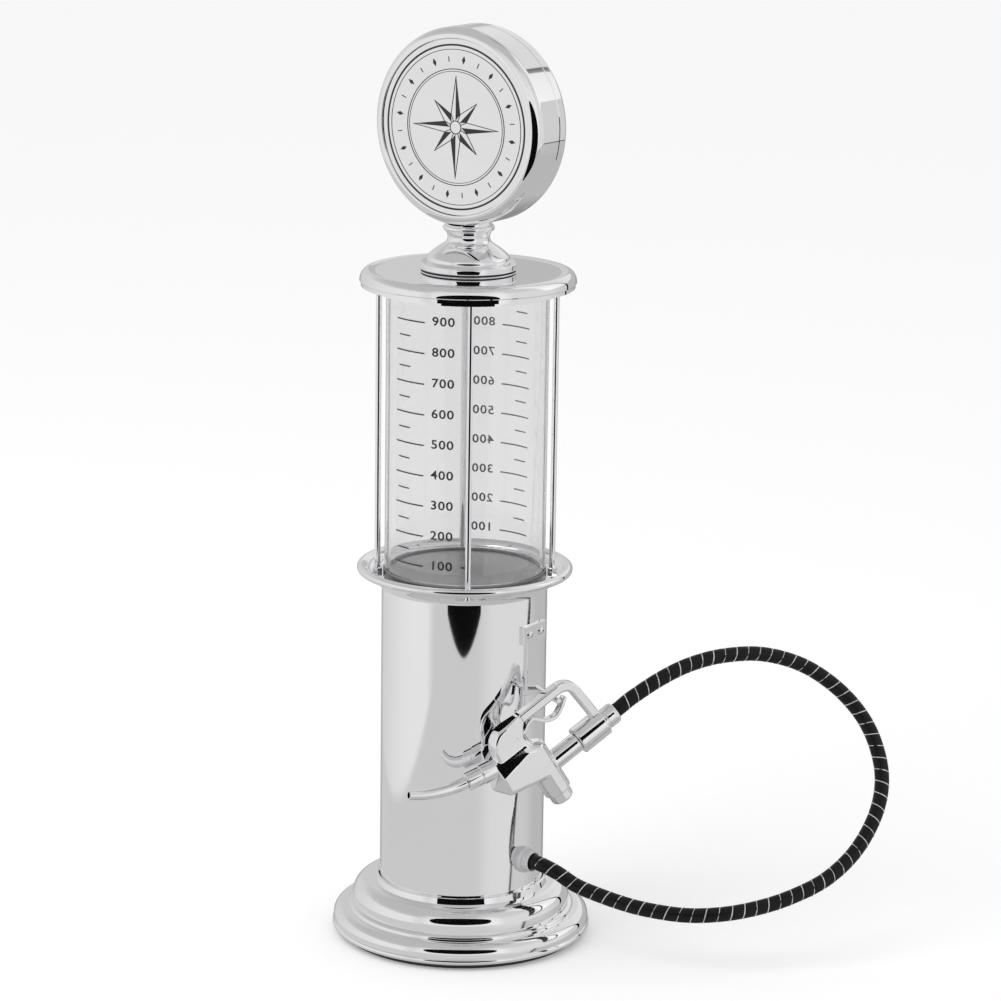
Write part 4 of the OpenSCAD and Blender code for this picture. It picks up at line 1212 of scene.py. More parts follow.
@dataclass
class Tank:
    """Flange, clear tank with its printed scale, tie rods, lid and filler ring."""

    flange_z: float = 200.0
    flange_t: float = 4.0
    flange_r: float = 58.5
    flange_hole: float = 30.0
    lip: float = 2.2
    lip_rise: float = 2.6
    dish: Pair = (49.4, 53.6)
    skirt_r: float = 45.95
    socket: float = 3.0
    socket_r: float = 45.15
    tank_r: float = 43.6
    tank_wall: float = 2.0
    tank_z: float = 207.0
    tank_top: float = 358.0
    lid_z: float = 359.0
    lid_r: float = 58.0
    lid_edge: float = 4.5
    lid_crest: float = 370.2
    lid_dish: float = 46.0
    lid_top: float = 369.6
    lid_wall: float = 2.4
    rim_bore: float = 50.2
    rim_r: float = 57.2
    rim_h: float = 4.6
    rim_hollow: float = 2.5
    filler_r: float = 16.5
    foot_r: float = 26.0
    filler_top: float = 370.0
    rod_d: float = 3.2
    rod_circle: float = 47.4
    rod_turn: float = -54.0
    nut_r: float = 2.9
    nut_h: float = 2.4
    tip_seat: float = 200.9
    tip_r: float = 1.9
    marks: int = 17
    mark_low: float = 216.2
    mark_step: float = 16.475
    long_mark: Triple = (-24.0, 3.0, 0.75)
    short_mark: Triple = (-21.0, -9.5, 0.7)
    number_at: float = 17.0
    number_lift: float = 1.0
    number_size: float = 7.2
    number_gap: float = 1.12
    number_bold: float = 0.00012
    number_stretch: Pair = (1.08, 0.92)
    back_scale: Pair = (184.4, 1.8)
    print_t: float = 0.05

    def build(self) -> None:
        """Makes all pieces of the tank."""
        fit(self.flange(), Body.STAND, CHROME, "flange")
        fit(self.glass(), Body.STAND, ACRYLIC, "tank_tube")
        fit(self.lid(), Body.STAND, CHROME, "lid")
        fit(self.filler(), Body.STAND, CHROME, "filler_ring")
        fit(self.rods(), Body.STAND, CHROME, "tie_rods")
        fit(self.nuts(), Body.STAND, CHROME, "rod_nuts")
        fit(self.tips(), Body.STAND, CHROME, "rod_tips")
        for name, about, lift in (("scale_front", 0.0, 0.0), ("scale_back", *self.back_scale)):
            fit(self.scale(name, about, lift), Body.STAND, INK)

    def flange(self) -> Piece:
        """The dished flange that flares out of the column to a rolled lip.

        Returns:
            The new piece.
        """
        top = self.flange_z + self.flange_t
        lip = (self.flange_r - self.lip, top + self.lip_rise)
        under = lip[1] - self.lip
        low = self.flange_z - self.socket
        flat, rise = self.dish
        profile = [
            (self.flange_hole, self.flange_z), (self.flange_hole, top), (flat, top),
            *swell((flat + 0.2, top), (rise, lip[1] + 0.9), 1.2, 6),
            *arc(lip, self.lip, self.lip, 130, -80, 16),
            *arc((lip[0], low), lip[0] - self.skirt_r, under - low, 90, 180, 16),
            (self.socket_r, low), (self.socket_r, self.flange_z),
        ]
        return turn("flange_dish", profile, 208, 26)

    def glass(self) -> Piece:
        """The clear tube with polished ends.

        Returns:
            The new piece.
        """
        inner = self.tank_r - self.tank_wall
        corners = [
            (inner, self.tank_z, 0.4), (self.tank_r, self.tank_z, 0.4),
            (self.tank_r, self.tank_top, 0.4), (inner, self.tank_top, 0.4),
        ]
        return turn("tank_clear", soften(corners, 3), 224)

    def lid(self) -> Piece:
        """The lid: a rounded edge over a thin lower ring, and a flat top round the filler hole.

        Returns:
            The new piece.
        """
        ring = self.lid_z + self.rim_h
        edge = (self.lid_r - self.lid_edge, ring + 0.6)
        rise = self.lid_crest - edge[1]
        hole = self.filler_r + 2.0
        inner = self.tank_r - self.tank_wall - 1.0
        under, hollow = self.lid_top - self.lid_wall, self.lid_z + self.rim_hollow
        profile = [
            (hole + 0.15, self.lid_z), (hole + self.lid_wall, self.lid_z), (hole + self.lid_wall, under),
            (inner, under), (inner, self.lid_z), (self.rim_bore, self.lid_z), (self.rim_bore, hollow),
            (self.rim_r, hollow), (self.rim_r, ring), (self.rim_r + 0.4, ring + 0.1),
            *arc(edge, self.lid_edge, rise, 0, 96, 24),
            *swell((edge[0] - 1.2, self.lid_crest - 0.2), (self.lid_dish, self.lid_top), -0.1, 8),
            (hole + 0.15, self.lid_top),
        ]
        return turn("lid_spun", profile, 208, 24)

    def filler(self) -> Piece:
        """The ring round the filler hole.

        Returns:
            The new piece.
        """
        tube = self.filler_r + 2.0
        corners = [
            (self.filler_r, self.lid_z, 0.2), (tube, self.lid_z, 0.2), (tube, self.lid_top, 0.0),
            (self.foot_r, self.lid_top, 0.2), (self.foot_r, self.filler_top, 0.5),
            (self.filler_r, self.filler_top, 0.4),
        ]
        return turn("filler_collar", soften(corners), 160)

    def around(self, name: str, piece: Piece) -> Piece:
        """Copies a piece to the four tie rods.

        Args:
            name: name of the joined copies.
            piece: the piece on the Z axis.

        Returns:
            The joined copies.
        """
        made = []
        for i in range(4):
            item = piece if i == 3 else copy_of(piece)
            made.append(place(item, rotated(self.rod_turn + 90 * i, "Z") @ moved(self.rod_circle)))
        return join(name, made)

    def rods(self) -> Piece:
        """The four plain tie rods, from the tips to the lid.

        Returns:
            The new piece.
        """
        low, high, r = self.tip_seat - 0.45, self.lid_z + 5.0, self.rod_d / 2
        corners = [(0, low, 0), (r, low, 0.3), (r, high, 0.3), (0, high, 0)]
        return self.around("tie_rods_bright", turn("tie_rod", soften(corners), 40))

    def nuts(self) -> Piece:
        """Hexagon nuts with chamfered corners on the flange.

        Returns:
            The new piece.
        """
        top = self.flange_z + self.flange_t
        clear_selection()
        bpy.ops.mesh.primitive_cylinder_add(vertices=6, radius=self.nut_r * MM, depth=self.nut_h * MM,
                                            location=(0, 0, (top + self.nut_h / 2) * MM))
        nut = named("rod_nut")
        bpy.ops.object.transform_apply(location=True, rotation=True, scale=True)
        modify(nut, "BEVEL", width=0.35 * MM, segments=2, limit_method="ANGLE", angle_limit=math.radians(50))
        combine(nut, rod("rod_nut_bore", self.rod_d / 2, top - 1, top + 4, 40))
        return self.around("rod_nuts_hex", smooth(nut, 20))

    def tips(self) -> Piece:
        """Domed tips under the flange.

        Returns:
            The new piece.
        """
        low, r = self.tip_seat - 0.05, self.tip_r
        profile = [*arc((0, low - 0.5), r, 0.9, -90, 0, 8), (r, low - 0.1), (r - 0.1, low), (0, low)]
        return self.around("rod_tips_domed", turn("rod_tip", profile, 40))

    def wrap(self, piece: Piece, about: float, height: float) -> Piece:
        """Bends a flat print round the tank.

        Args:
            piece: the print, with x along the tank's side, y up and z outwards, in metres.
            about: turn of its origin from the front, in degrees.
            height: height of its origin.

        Returns:
            The same piece.
        """
        radius = (self.tank_r + 0.02) * MM
        for vertex in piece.data.vertices:
            x, y, z = vertex.co
            a = math.radians(about) + x / radius
            vertex.co = ((radius + z) * math.sin(a), -(radius + z) * math.cos(a), height * MM + y)
        return piece

    def bar(self, start: float, end: float, thick: float) -> Piece:
        """A flat printed line, before it is bent.

        Args:
            start: angle of one end, in degrees.
            end: angle of the other end.
            thick: its thickness.

        Returns:
            The new piece.
        """
        radius = self.tank_r * MM
        a, b = math.radians(start) * radius, math.radians(end) * radius
        clear_selection()
        bpy.ops.mesh.primitive_grid_add(x_subdivisions=10, y_subdivisions=1, size=1.0)
        piece = named("scale_line")
        place(piece, Matrix.Translation(((a + b) / 2, 0, 0)) @ Matrix.Diagonal((b - a, thick * MM, 1, 1)))
        return modify(piece, "SOLIDIFY", thickness=self.print_t * MM, offset=1.0)

    def numeral(self, words: str, middle: float) -> Piece:
        """A printed number, before it is bent.

        Args:
            words: the number.
            middle: angle of its middle, in degrees.

        Returns:
            The new piece.
        """
        clear_selection()
        bpy.ops.object.text_add()
        text = bpy.context.object.data
        text.body = words
        text.size = self.number_size * MM
        text.align_x = text.align_y = "CENTER"
        text.space_character = self.number_gap
        text.offset = self.number_bold
        text.resolution_u = 4
        bpy.ops.object.convert(target="MESH")
        stretch = Matrix.Diagonal((*self.number_stretch, 1, 1))
        piece = place(named("scale_number"), moved(math.radians(middle) * self.tank_r) @ stretch)
        return modify(piece, "SOLIDIFY", thickness=self.print_t * MM, offset=1.0)

    def scale(self, name: str, about: float, lift: float) -> Piece:
        """One printed scale with numbers, long lines at the hundreds and short ones between.

        Args:
            name: name of the piece.
            about: turn of the scale from the front, in degrees.
            lift: how much higher it is printed.

        Returns:
            The print.
        """
        parts = []
        for i in range(self.marks):
            height = self.mark_low + lift + self.mark_step * i / 2
            if i % 2:
                parts.append(self.wrap(self.bar(*self.short_mark), about, height))
            else:
                parts.append(self.wrap(self.bar(*self.long_mark), about, height))
                number = self.numeral(str(100 * (i // 2 + 1)), self.number_at)
                parts.append(self.wrap(number, about, height + self.number_lift))
        piece = join(name, parts)
        pick(piece)
        bpy.ops.object.mode_set(mode="EDIT")
        close_mesh()
        return piece


@dataclass
class Sign:
    """Round two-shell sign on its turned pedestal."""

    pedestal_z: float = 370.8
    pedestal_h: float = 24.0
    sign_r: float = 52.5
    depth: float = 29.5
    front_depth: float = 20.6
    wall: float = 1.8
    bead: float = 5.5
    face_r: float = 46.5
    face_t: float = 1.6
    set_back: float = 1.1
    foot_r: float = 26.0
    plug_r: float = 16.2
    plug_l: float = 9.0
    print_t: float = 0.1
    rings: tuple[Pair, ...] = ((43.2, 1.0), (40.9, 0.35), (30.6, 0.45), (29.4, 0.3), (3.4, 0.5))
    star_tips: Pair = (27.0, 19.0)
    star_waist: float = 7.6
    star_hub: float = 3.7
    star_line: float = 0.4
    lozenge: Triple = (33.6, 35.8, 38.0)
    lozenge_turn: float = 1.7
    tick: Triple = (34.4, 37.2, 0.5)

    def build(self) -> None:
        """Makes the pedestal, both shells, the face plate and its print."""
        fit(self.pedestal(), Body.SIGN, CHROME, "pedestal")
        upright = moved(z=self.pedestal_z + self.pedestal_h + self.sign_r) @ rotated(90, "X")
        fit(place(self.front(), upright), Body.SIGN, CHROME, "sign_front_shell")
        fit(place(self.back(), upright), Body.SIGN, CHROME, "sign_back_shell")
        fit(place(self.face(), upright), Body.SIGN, FACE_METAL, "sign_face")
        fit(place(self.ornament(), upright), Body.SIGN, INK)

    def pedestal(self) -> Piece:
        """The turned foot, waist and bead under the sign, with the hollow stopper below.

        Returns:
            The new piece.
        """
        bead = self.pedestal_h - 4.6
        shape = [
            (0.0, -1.0), (13.6, -1.0), (13.6, -self.plug_l), (self.plug_r, -self.plug_l), (self.plug_r, 0.0),
            (self.foot_r - 0.5, 0.0), *arc((self.foot_r - 0.7, 0.7), 0.7, 0.7, -90, 0, 4),
            *arc((self.foot_r - 0.7, 2.9), 0.7, 0.7, 0, 90, 4),
            *swell((21.8, 3.4), (21.7, bead - 12.4), 0.6, 10),
            *swell((21.5, bead - 12.1), (13.3, bead - 6.0), 0.3, 12),
            *swell((13.1, bead - 5.8), (11.3, bead - 2.6), -0.4, 10),
            *swell((11.3, bead - 2.2), (12.3, bead + 0.6), -0.2, 8),
            *swell((12.4, bead + 0.8), (12.5, bead + 4.4), 1.3, 14),
            (12.2, self.pedestal_h + 2.0), (0.0, self.pedestal_h + 2.0),
        ]
        piece = turn("pedestal_turned", [(r, self.pedestal_z + h) for r, h in shape], 160, 26)
        clear_selection()
        middle = (0, 0, (self.pedestal_z + self.pedestal_h + self.sign_r) * MM)
        bpy.ops.mesh.primitive_cylinder_add(vertices=256, radius=self.sign_r * MM, depth=0.06,
                                            location=middle, rotation=(math.radians(90), 0, 0))
        return smooth(combine(piece, named("sign_seat")), 26)

    def front(self) -> Piece:
        """The front shell with its full round bead and a stepped lip to the face.

        Returns:
            The new piece.
        """
        front = self.depth / 2
        seam = front - self.front_depth
        seat = front - self.set_back - self.face_t
        lip = self.face_r + 0.15
        inner, under = self.sign_r - self.wall, seat - self.wall
        profile = [
            (inner, seam), (self.sign_r - 0.4, seam), (self.sign_r, seam + 0.4),
            *arc((self.sign_r - self.bead, front - self.bead), self.bead, self.bead, 0, 90, 18),
            *arc((lip + 0.3, front - 0.3), 0.3, 0.3, 90, 180, 4),
            (lip, seat), (self.face_r - 3.0, seat), (self.face_r - 3.0, under), (inner - 2.0, under),
            (inner, under - 2.0),
        ]
        return turn("sign_shell_front", profile, 224, 26)

    def back(self) -> Piece:
        """The shallow back shell with a flat back and a rounded edge.

        Returns:
            The new piece.
        """
        back = -self.depth / 2
        seam = self.depth / 2 - self.front_depth
        r = self.sign_r
        profile = [
            (0.0, back), (30.0, back), (r - 12.0, back), (r - 4.0, back),
            *arc((r - 4.0, back + 4.0), 4.0, 4.0, -84, 0, 12),
            (r, seam - 0.4), (r - 0.4, seam), (r - self.wall, seam),
            (r - self.wall, back + 4.0), (r - 4.0, back + self.wall), (0.0, back + self.wall),
        ]
        return turn("sign_shell_back", profile, 224, 26)

    def face(self) -> Piece:
        """The round face plate with a fine rounded edge.

        Returns:
            The new piece.
        """
        high = self.depth / 2 - self.set_back
        low = high - self.face_t
        corners = [(0, low, 0), (self.face_r, low, 0.2), (self.face_r, high, 0.35), (0, high, 0)]
        return turn("sign_face_plate", soften(corners), 192)

    def ring(self, r: float, w: float, low: float) -> Piece:
        """A printed ring line."""
        half, high = w / 2, low + self.print_t
        return turn("ink_ring", [(r - half, low), (r + half, low), (r + half, high), (r - half, high)], 144)

    def patch(self, corners: Sequence[Pair], low: float) -> Piece:
        """A flat printed patch."""
        piece = plate("ink_patch", corners, self.print_t)
        return place(piece, moved(z=low + self.print_t / 2) @ rotated(-90, "X"))

    def stroke(self, p: Pair, q: Pair, w: float, low: float) -> Piece:
        """A straight printed line.

        Args:
            p: its start.
            q: its end.
            w: its width.
            low: height of the surface below it.

        Returns:
            The new piece.
        """
        a, b = Vector(p), Vector(q)
        side = Vector((a.y - b.y, b.x - a.x)).normalized() * w / 2
        return self.patch([tuple(a - side), tuple(b - side), tuple(b + side), tuple(a + side)], low)

    def ornament(self) -> Piece:
        """A plain printed rosette: ring lines, an eight-pointed star and a ring of small lozenges.

        Returns:
            The new piece.
        """
        low = self.depth / 2 - self.set_back + 0.01
        parts = [self.ring(r, w, low) for r, w in self.rings]

        def at(r: float, a: float) -> Pair:
            """A point at a radius and an angle in degrees from the top."""
            return r * math.sin(math.radians(a)), r * math.cos(math.radians(a))

        hub, waist = self.star_hub, self.star_waist
        for i in range(8):
            a = 45.0 * i
            tip, notch = at(self.star_tips[i % 2], a), at(waist, a - 22.5)
            parts.append(self.patch([at(hub, a), at(waist, a + 22.5), tip], low))
            parts.append(self.stroke(notch, tip, self.star_line, low))
            parts.append(self.stroke(notch, at(hub, a - 22.5), self.star_line, low))
        inner, middle, outer = self.lozenge
        start, end, wide = self.tick
        for i in range(24):
            a, b = 15.0 * i + 7.5, self.lozenge_turn
            if i % 2:
                parts.append(self.stroke(at(start, a), at(end, a), wide, low))
            else:
                corners = [at(inner, a), at(middle, a + b), at(outer, a), at(middle, a - b)]
                parts.append(self.patch(corners, low))
        return join("sign_ornament", parts)


@dataclass
class Side:
    """Hose gland, hook plate and screws on the right side of the column."""

    column_r: float = 45.0
    gland_z: float = 50.0
    gland_turn: float = -7.0
    hook_z: float = 177.0
    hook_t: float = 1.2
    hook_root: float = 2.0
    hook_w: float = 21.0
    hook_h: float = 10.0
    strap_w: float = 14.0
    strap_low: float = 142.95
    peg: Pair = (17.0, 28.85)
    peg_l: float = 28.2
    peg_r: float = 1.5
    peg_back: float = 5.0
    screw_pitch: float = 10.6
    head_r: float = 2.35
    head_h: float = 1.6
    slot: Triple = (2.2, 0.5, 1.4)
    slot_turn: float = 25.0

    def build(self) -> None:
        """Makes the gland, the hook and its screws."""
        fit(self.gland(), Body.STAND, GLAND, "hose_gland")
        fit(self.hook(), Body.STAND, CAST_CHROME, "hook_plate")
        fit(self.screws(), Body.STAND, CAST_CHROME, "hook_screws")

    def gland(self) -> Piece:
        """The gland: a thick rounded flange, a smaller step and the hole for the hose.

        Returns:
            The new piece.
        """
        x = self.column_r
        profile = [
            (2.0, x - 7.0), (5.6, x - 7.0), (5.6, x - 1.2), (6.8, x - 1.2), (7.1, x - 0.8),
            *arc((5.9, x + 1.6), 1.2, 1.2, 0, 90, 8), (5.7, x + 2.8),
            *arc((5.1, x + 6.4), 0.6, 0.6, 0, 90, 6), (5.0, x + 7.0), (4.2, x + 5.5),
            (4.15, x - 1.0), (2.0, x - 1.0),
        ]
        where = rotated(self.gland_turn, "Z") @ moved(z=self.gland_z) @ rotated(90, "Y")
        return place(turn("hose_gland_stepped", profile, 96, 30), where)

    def slab(self, width: float, low: float, high: float) -> Piece:
        """A flat piece on the side of the column, with fine rounded edges.

        Args:
            width: its width.
            low: height of its lower edge.
            high: height of its upper edge.

        Returns:
            The new piece.
        """
        deep = self.hook_root + self.hook_t
        middle = moved(self.column_r - self.hook_root + deep / 2, 0.0, (low + high) / 2)
        piece = box("hook_slab", middle @ sized(deep, width, high - low))
        return modify(piece, "BEVEL", width=0.35 * MM, segments=3)

    def hook(self) -> Piece:
        """The plate on the column, its strap and the peg that the gun hangs on.

        Returns:
            The new piece.
        """
        low = self.hook_z - self.hook_h / 2
        piece = self.slab(self.hook_w, low, self.hook_z + self.hook_h / 2)
        x, z = self.peg
        r, l = self.peg_r, self.peg_l
        peg = turn("hook_peg", soften([(0, 0, 0), (r, 0, 0), (r, l, 0.5), (0, l, 0)]), 48)
        place(peg, Gun().frame() @ moved(x, l - self.peg_back, z) @ rotated(90, "X"))
        wall = rod("column_cut", self.column_r + 0.02, 0, 200, 224)
        strap = self.slab(self.strap_w, self.strap_low, low + 1.0)
        for operation, other in (("UNION", strap), ("DIFFERENCE", wall), ("UNION", peg)):
            combine(piece, other, operation)
        piece.name = piece.data.name = "hook_plate_bent"
        return smooth(piece, 30)

    def screws(self) -> Piece:
        """Two domed screws with a cross recess.

        Returns:
            The new piece.
        """
        made = []
        for side in (-1, 1):
            dome = [(0, -2.0), (1.3, -2.0), (1.3, -0.05), (self.head_r, -0.05),
                    *arc((0, 0), self.head_r, self.head_h, 4, 90, 10)]
            screw = turn("hook_screw", dome, 48)
            for angle in (self.slot_turn, self.slot_turn + 90):
                where = moved(z=self.head_h + 0.1) @ rotated(angle, "Z") @ sized(*self.slot)
                combine(screw, box("screw_slot", where))
            spot = moved(self.column_r + self.hook_t, side * self.screw_pitch / 2, self.hook_z)
            made.append(place(screw, spot @ rotated(90, "Y")))
        return smooth(join("hook_screws_domed", made), 30)


@dataclass
class Gun:
    """Nozzle gun that hangs on the hook, in its own frame: x along the barrel to the hose, z to the guard."""

    off: float = 60.0
    along: float = 28.4
    height: float = 112.0
    turned: float = 58.0
    tilt: float = 33.0
    valve_x: float = -8.5
    valve_d: float = 15.5
    barrel_d: float = 11.0
    nose: Pair = (-31.5, 18.6)
    nose_r: float = 5.5
    pitch: float = 13.4
    cheek_w: float = 10.4
    bar_z: float = 30.5
    bar_t: float = 5.4
    bar_w: float = 7.0
    bar_start: float = -4.5
    corner_x: float = 20.5
    corner_r: float = 5.5
    arm_lean: float = 2.0
    block_x: float = 15.0
    block_l: float = 18.0
    block_d: float = 15.6
    ferrule_l: float = 8.5
    collar_l: float = 17.0
    spout_l: float = 34.0
    spout_bend: float = 29.0
    spout_r: Pair = (3.3, 2.5)
    housing_end: float = -15.5
    cap_end: float = -21.5
    trigger_w: float = 5.0
    trigger_t: float = 2.0
    slot: Triple = (18.0, 5.6, 10.0)
    slot_spot: Triple = (-9.0, 0.0, 25.4)
    eye: Pair = (-13.5, 26.5)
    eye_r: Pair = (1.05, 2.4)
    voxel: float = 0.42

    def frame(self) -> Matrix:
        """The gun's frame in the frame of the dispenser."""
        spot = moved(self.along, -self.off, self.height)
        return rotated(self.turned, "Z") @ spot @ rotated(-self.tilt, "Y")

    def barrel_frame(self, x: float) -> Matrix:
        """A frame with its Z along the barrel, from a point x."""
        return moved(x) @ rotated(90, "Y")

    def valve_frame(self) -> Matrix:
        """A frame with its Z along the valve housing."""
        return moved(self.valve_x)

    def collar_frame(self, run: float = 0.0) -> Matrix:
        """A frame with its Z along the spout's collar, from a length along it."""
        return moved(self.nose[0], 0.0, self.nose[1]) @ rotated(self.pitch - 90, "Y") @ moved(z=run)

    def build(self) -> None:
        """Makes the pieces of the gun and hangs them in its frame."""
        where = self.frame()
        for piece, node in (
            (self.body(), "gun_body"), (self.guard(), "trigger_guard"), (self.block(), "tail_block"),
            (self.ferrule(), "hose_ferrule"), (self.collar(), "spout_collar"), (self.spout(), "spout"),
            (self.cap(), "valve_cap"),
        ):
            fit(place(piece, where), Body.GUN, CAST_CHROME, node)
        fit(place(self.trigger(), where), Body.TRIGGER, CAST_CHROME, "trigger")

    def ball(self, spot: Triple, radius: float) -> Piece:
        """A ball to build the body's outline from.

        Args:
            spot: its middle.
            radius: its radius.

        Returns:
            The new piece.
        """
        clear_selection()
        bpy.ops.mesh.primitive_uv_sphere_add(segments=32, ring_count=16, radius=radius * MM,
                                             location=Vector(spot) * MM)
        bpy.ops.object.transform_apply(location=True, rotation=True, scale=True)
        return bpy.context.object

    def shoulder(self) -> Piece:
        """The tapering body from the nose to the valve housing, pulled tight round its ends.

        Returns:
            The new piece.
        """
        nose = place(rod("nose_end", self.nose_r, -4, 0, 48), self.collar_frame())
        x = self.nose[0]
        ends = [nose, self.stem(15.0), self.ball((x - 4, 0, 9.5), 3)]
        flank = (((x, 5.4, 4), 2), ((x + 0.5, 6.6, 13), 0.8), ((x + 1, 3.9, 20.5), 0.8),
                 ((-12.5, 6.9, 16.5), 0.8), ((-12.5, 4.2, 20.5), 0.8))
        for side in (-1, 1):
            ends += [self.ball((along, side * out, up), radius) for (along, out, up), radius in flank]
        return self.tight("shoulder", ends)

    def fin(self) -> Piece:
        """The upper end of the valve housing, which runs up to the rear edge of the cheek.

        Returns:
            The new piece.
        """
        ends = [self.stem(9.0)]
        ends += [self.ball((-12, side * 3.4, 24.4), 1.4) for side in (-1, 1)]
        return self.tight("fin", ends)

    def stem(self, high: float) -> Piece:
        """A length of the valve housing up to a height."""
        return place(rod("stem_end", self.valve_d / 2, -2, high, 64), self.valve_frame())

    def tight(self, name: str, ends: Sequence[Piece]) -> Piece:
        """Pulls a skin tight round some ends.

        Args:
            name: name of the skin.
            ends: the pieces inside it, which it replaces.

        Returns:
            The skin.
        """
        piece = join(name, ends)
        pick(piece)
        bpy.ops.object.mode_set(mode="EDIT")
        bpy.ops.mesh.select_all(action="SELECT")
        bpy.ops.mesh.convex_hull()
        bpy.ops.object.mode_set(mode="OBJECT")
        return piece

    def body(self) -> Piece:
        """The cast body: cheek, shoulder, valve housing and barrel run into each other with soft fillets.

        Returns:
            The new piece.
        """
        top = self.bar_z + self.bar_t
        outline = [
            (self.bar_start, self.bar_z), (self.bar_start, top), *arc((-17, 22), 11.5, top - 22, 90, 170, 12),
            (-29.5, 17), (-20, 10), (-8.5, 8), (-9.5, 24.5), (-7.0, 28.0),
        ]
        cheek = plate("cheek", outline, self.cheek_w, 1.6, 4)
        r, low = self.valve_d / 2, self.housing_end
        housing = turn("housing", soften([(0, low, 0), (r, low, 0.5), (r, 8, 0), (0, 8, 0)]), 96)
        place(housing, self.valve_frame())
        barrel = rod("barrel", self.barrel_d / 2, 0, self.block_x - self.valve_x, 96)
        place(barrel, self.barrel_frame(self.valve_x))
        piece = join("nozzle_body", [cheek, self.shoulder(), self.fin(), housing, barrel])
        modify(piece, "REMESH", mode="VOXEL", voxel_size=self.voxel * MM)
        modify(piece, "SMOOTH", factor=0.5, iterations=9)
        self.taper(piece)
        slot = box("trigger_slot", moved(*self.slot_spot) @ sized(*self.slot))
        return smooth(combine(piece, slot), 40)

    def taper(self, piece: Piece) -> None:
        """Narrows the top of the cheek to the width of the guard bar.

        Args:
            piece: the cast body.
        """
        for vertex in piece.data.vertices:
            x, y, z = vertex.co / MM
            along = min(max((x + 16.0) / 11.0, 0.0), 1.0)
            up = min(max((z - 22.0) / 8.0, 0.0), 1.0)
            share = along * along * (3 - 2 * along) * up * up * (3 - 2 * up)
            vertex.co.y = y * (1 - (1 - self.bar_w / self.cheek_w) * share) * MM

    def guard(self) -> Piece:
        """The bent bar of the trigger guard.

        Returns:
            The new piece.
        """
        corner = (self.corner_x, self.bar_z - self.corner_r)
        out = self.corner_r + self.bar_t
        foot = corner[0] + self.corner_r + self.arm_lean
        outline = [
            (self.bar_start - 1.0, self.bar_z), (self.bar_start - 1.0, self.bar_z + self.bar_t),
            *arc(corner, out, out, 90, 0, 20), (foot + self.bar_t, 6.5), (foot, 6.5),
            *arc(corner, self.corner_r, self.corner_r, 0, 90, 16),
        ]
        return plate("trigger_guard_bar", outline, self.bar_w, 1.3, 4)

    def block(self) -> Piece:
        """The tail block, with a bore for the flow.

        Returns:
            The new piece.
        """
        r, l = self.block_d / 2, self.block_l
        corners = [(2.5, 0, 0), (r, 0, 0.9), (r, l, 0.9), (2.5, l, 0)]
        return place(turn("tail_block_turned", soften(corners), 96), self.barrel_frame(self.block_x))

    def ferrule(self) -> Piece:
        """The ferrule round the hose end, with a fine groove and a rounded lip.

        Returns:
            The new piece.
        """
        l = self.ferrule_l
        corners = [
            (2.5, 0, 0), (6.0, 0, 0.2), (6.0, 1.2, 0.1), (5.7, 1.4, 0.1), (5.7, 1.8, 0.1), (6.0, 2.0, 0.1),
            (6.0, l - 1.5, 0.8), (5.3, l, 0.6), (4.15, l, 0.2), (4.15, 2.0, 0), (2.5, 2.0, 0),
        ]
        piece = turn("hose_ferrule_turned", soften(corners), 96)
        return place(piece, self.barrel_frame(self.block_x + self.block_l))

    def collar(self) -> Piece:
        """The two-step collar between the body and the spout.

        Returns:
            The new piece.
        """
        half, l = self.collar_l / 2, self.collar_l
        corners = [
            (2.5, -1.0, 0), (5.4, -1.0, 0), (5.4, half - 0.5, 0.3), (4.7, half - 0.35, 0.1), (4.7, half, 0.1),
            (4.95, half + 0.1, 0.2), (4.95, l, 0.6), (2.5, l, 0.2),
        ]
        return place(turn("spout_collar_turned", soften(corners), 80), self.collar_frame())

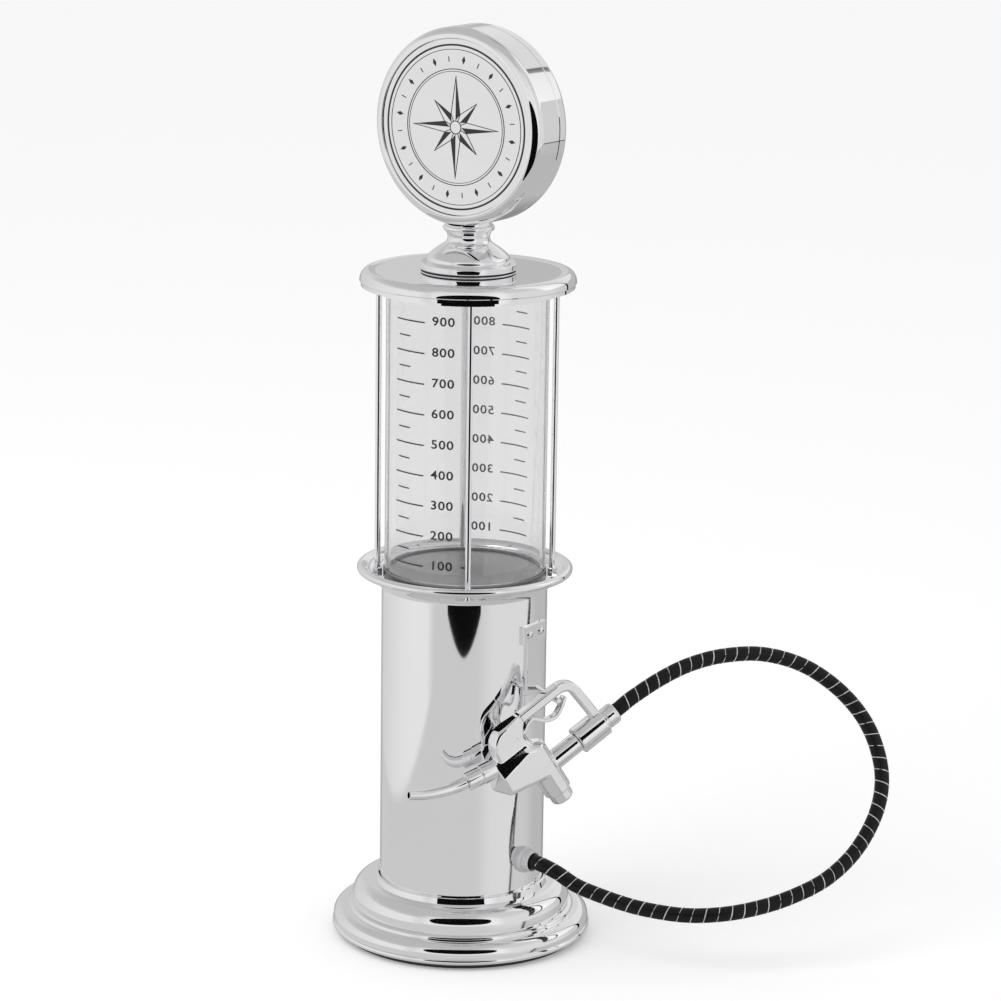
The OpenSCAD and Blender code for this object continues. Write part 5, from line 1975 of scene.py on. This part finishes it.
    def spout(self) -> Piece:
        """The bent, tapering spout with an open end.

        Returns:
            The new piece.
        """
        bend = math.radians(self.spout_bend)
        radius = self.spout_l / bend
        count = 28
        clear_selection()
        bpy.ops.curve.primitive_nurbs_path_add()
        curve = bpy.context.object
        curve.data.splines.clear()
        line = curve.data.splines.new("POLY")
        line.points.add(count)
        for i, point in enumerate(line.points):
            t = i / count
            x, z = radius * (1 - math.cos(bend * t)), radius * math.sin(bend * t)
            point.co = (x * MM, 0, z * MM, 1)
            point.radius = self.spout_r[0] + (self.spout_r[1] - self.spout_r[0]) * t
        curve.data.dimensions = "3D"
        curve.data.bevel_depth = MM
        curve.data.bevel_resolution = 10
        bpy.ops.object.convert(target="MESH")
        piece = named("spout_bent")
        bpy.ops.object.mode_set(mode="EDIT")
        close_mesh()
        modify(piece, "SOLIDIFY", thickness=0.8 * MM, offset=-1.0, use_even_offset=True)
        modify(piece, "BEVEL", width=0.25 * MM, segments=2, limit_method="ANGLE",
               angle_limit=math.radians(50))
        return place(smooth(piece, 40), self.collar_frame(self.collar_l))

    def cap(self) -> Piece:
        """The screw cap under the valve housing.

        Returns:
            The new piece.
        """
        r, low, high = self.valve_d / 2 - 1.4, self.cap_end, self.housing_end
        corners = [
            (0, low, 0), (r, low, 1.6), (r, high, 0.2), (r - 0.6, high, 0), (r - 0.6, high + 4, 0),
            (0, high + 4, 0),
        ]
        return place(turn("valve_cap_turned", soften(corners), 96), self.valve_frame())

    def trigger(self) -> Piece:
        """The bent strip of the trigger with its eye on the pin.

        Returns:
            The new piece.
        """
        x, z = self.eye
        low = z - 1.5 + self.trigger_t / 2
        bends = [(x, low), (-6.5, low), (-3.2, 28), (1, 28.2), (6, 23), (11.4, 21), (16.8, 23), (22, 27)]
        line = spline([Vector((x, 0, z)) for x, z in bends], 8)
        # a small drift to the side keeps the frames along a flat line defined
        drift = [Vector((p.x, p.y + 1e-6 * i, p.z)) for i, p in enumerate(line)]
        left, right = [], []
        for point, (along, _, _) in zip(line, ways(drift)):
            side = Vector((-along.z, 0, along.x)) * self.trigger_t / 2
            left.append(((point + side).x, (point + side).z))
            right.append(((point - side).x, (point - side).z))
        strip = plate("trigger_strip", [*left, *reversed(right)], self.trigger_w, 0.6, 3)
        (bore, out), half = self.eye_r, self.trigger_w / 2
        corners = [(bore, -half, 0.1), (out, -half, 0.4), (out, half, 0.4), (bore, half, 0.1)]
        ring = place(turn("trigger_eye", soften(corners), 48), moved(x, 0.0, z) @ rotated(90, "X"))
        return join("trigger_strip", [strip, ring])


def dress_kept_nodes() -> None:
    """Gives every node that keeps its solid its finish."""
    for finish, nodes in KEPT_NODES.items():
        for node in nodes:
            dress(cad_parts[node], finish)


def main() -> None:
    """Builds the stage and the dispenser in order."""
    logging.basicConfig(level=logging.INFO, format="%(message)s")
    Studio().build()
    Hose().build()
    for assembly in (Base(), Tank(), Sign(), Side(), Gun()):
        LOG.info("%s", type(assembly).__name__)
        assembly.build()
    dress_kept_nodes()


if __name__ == "__main__":
    main()
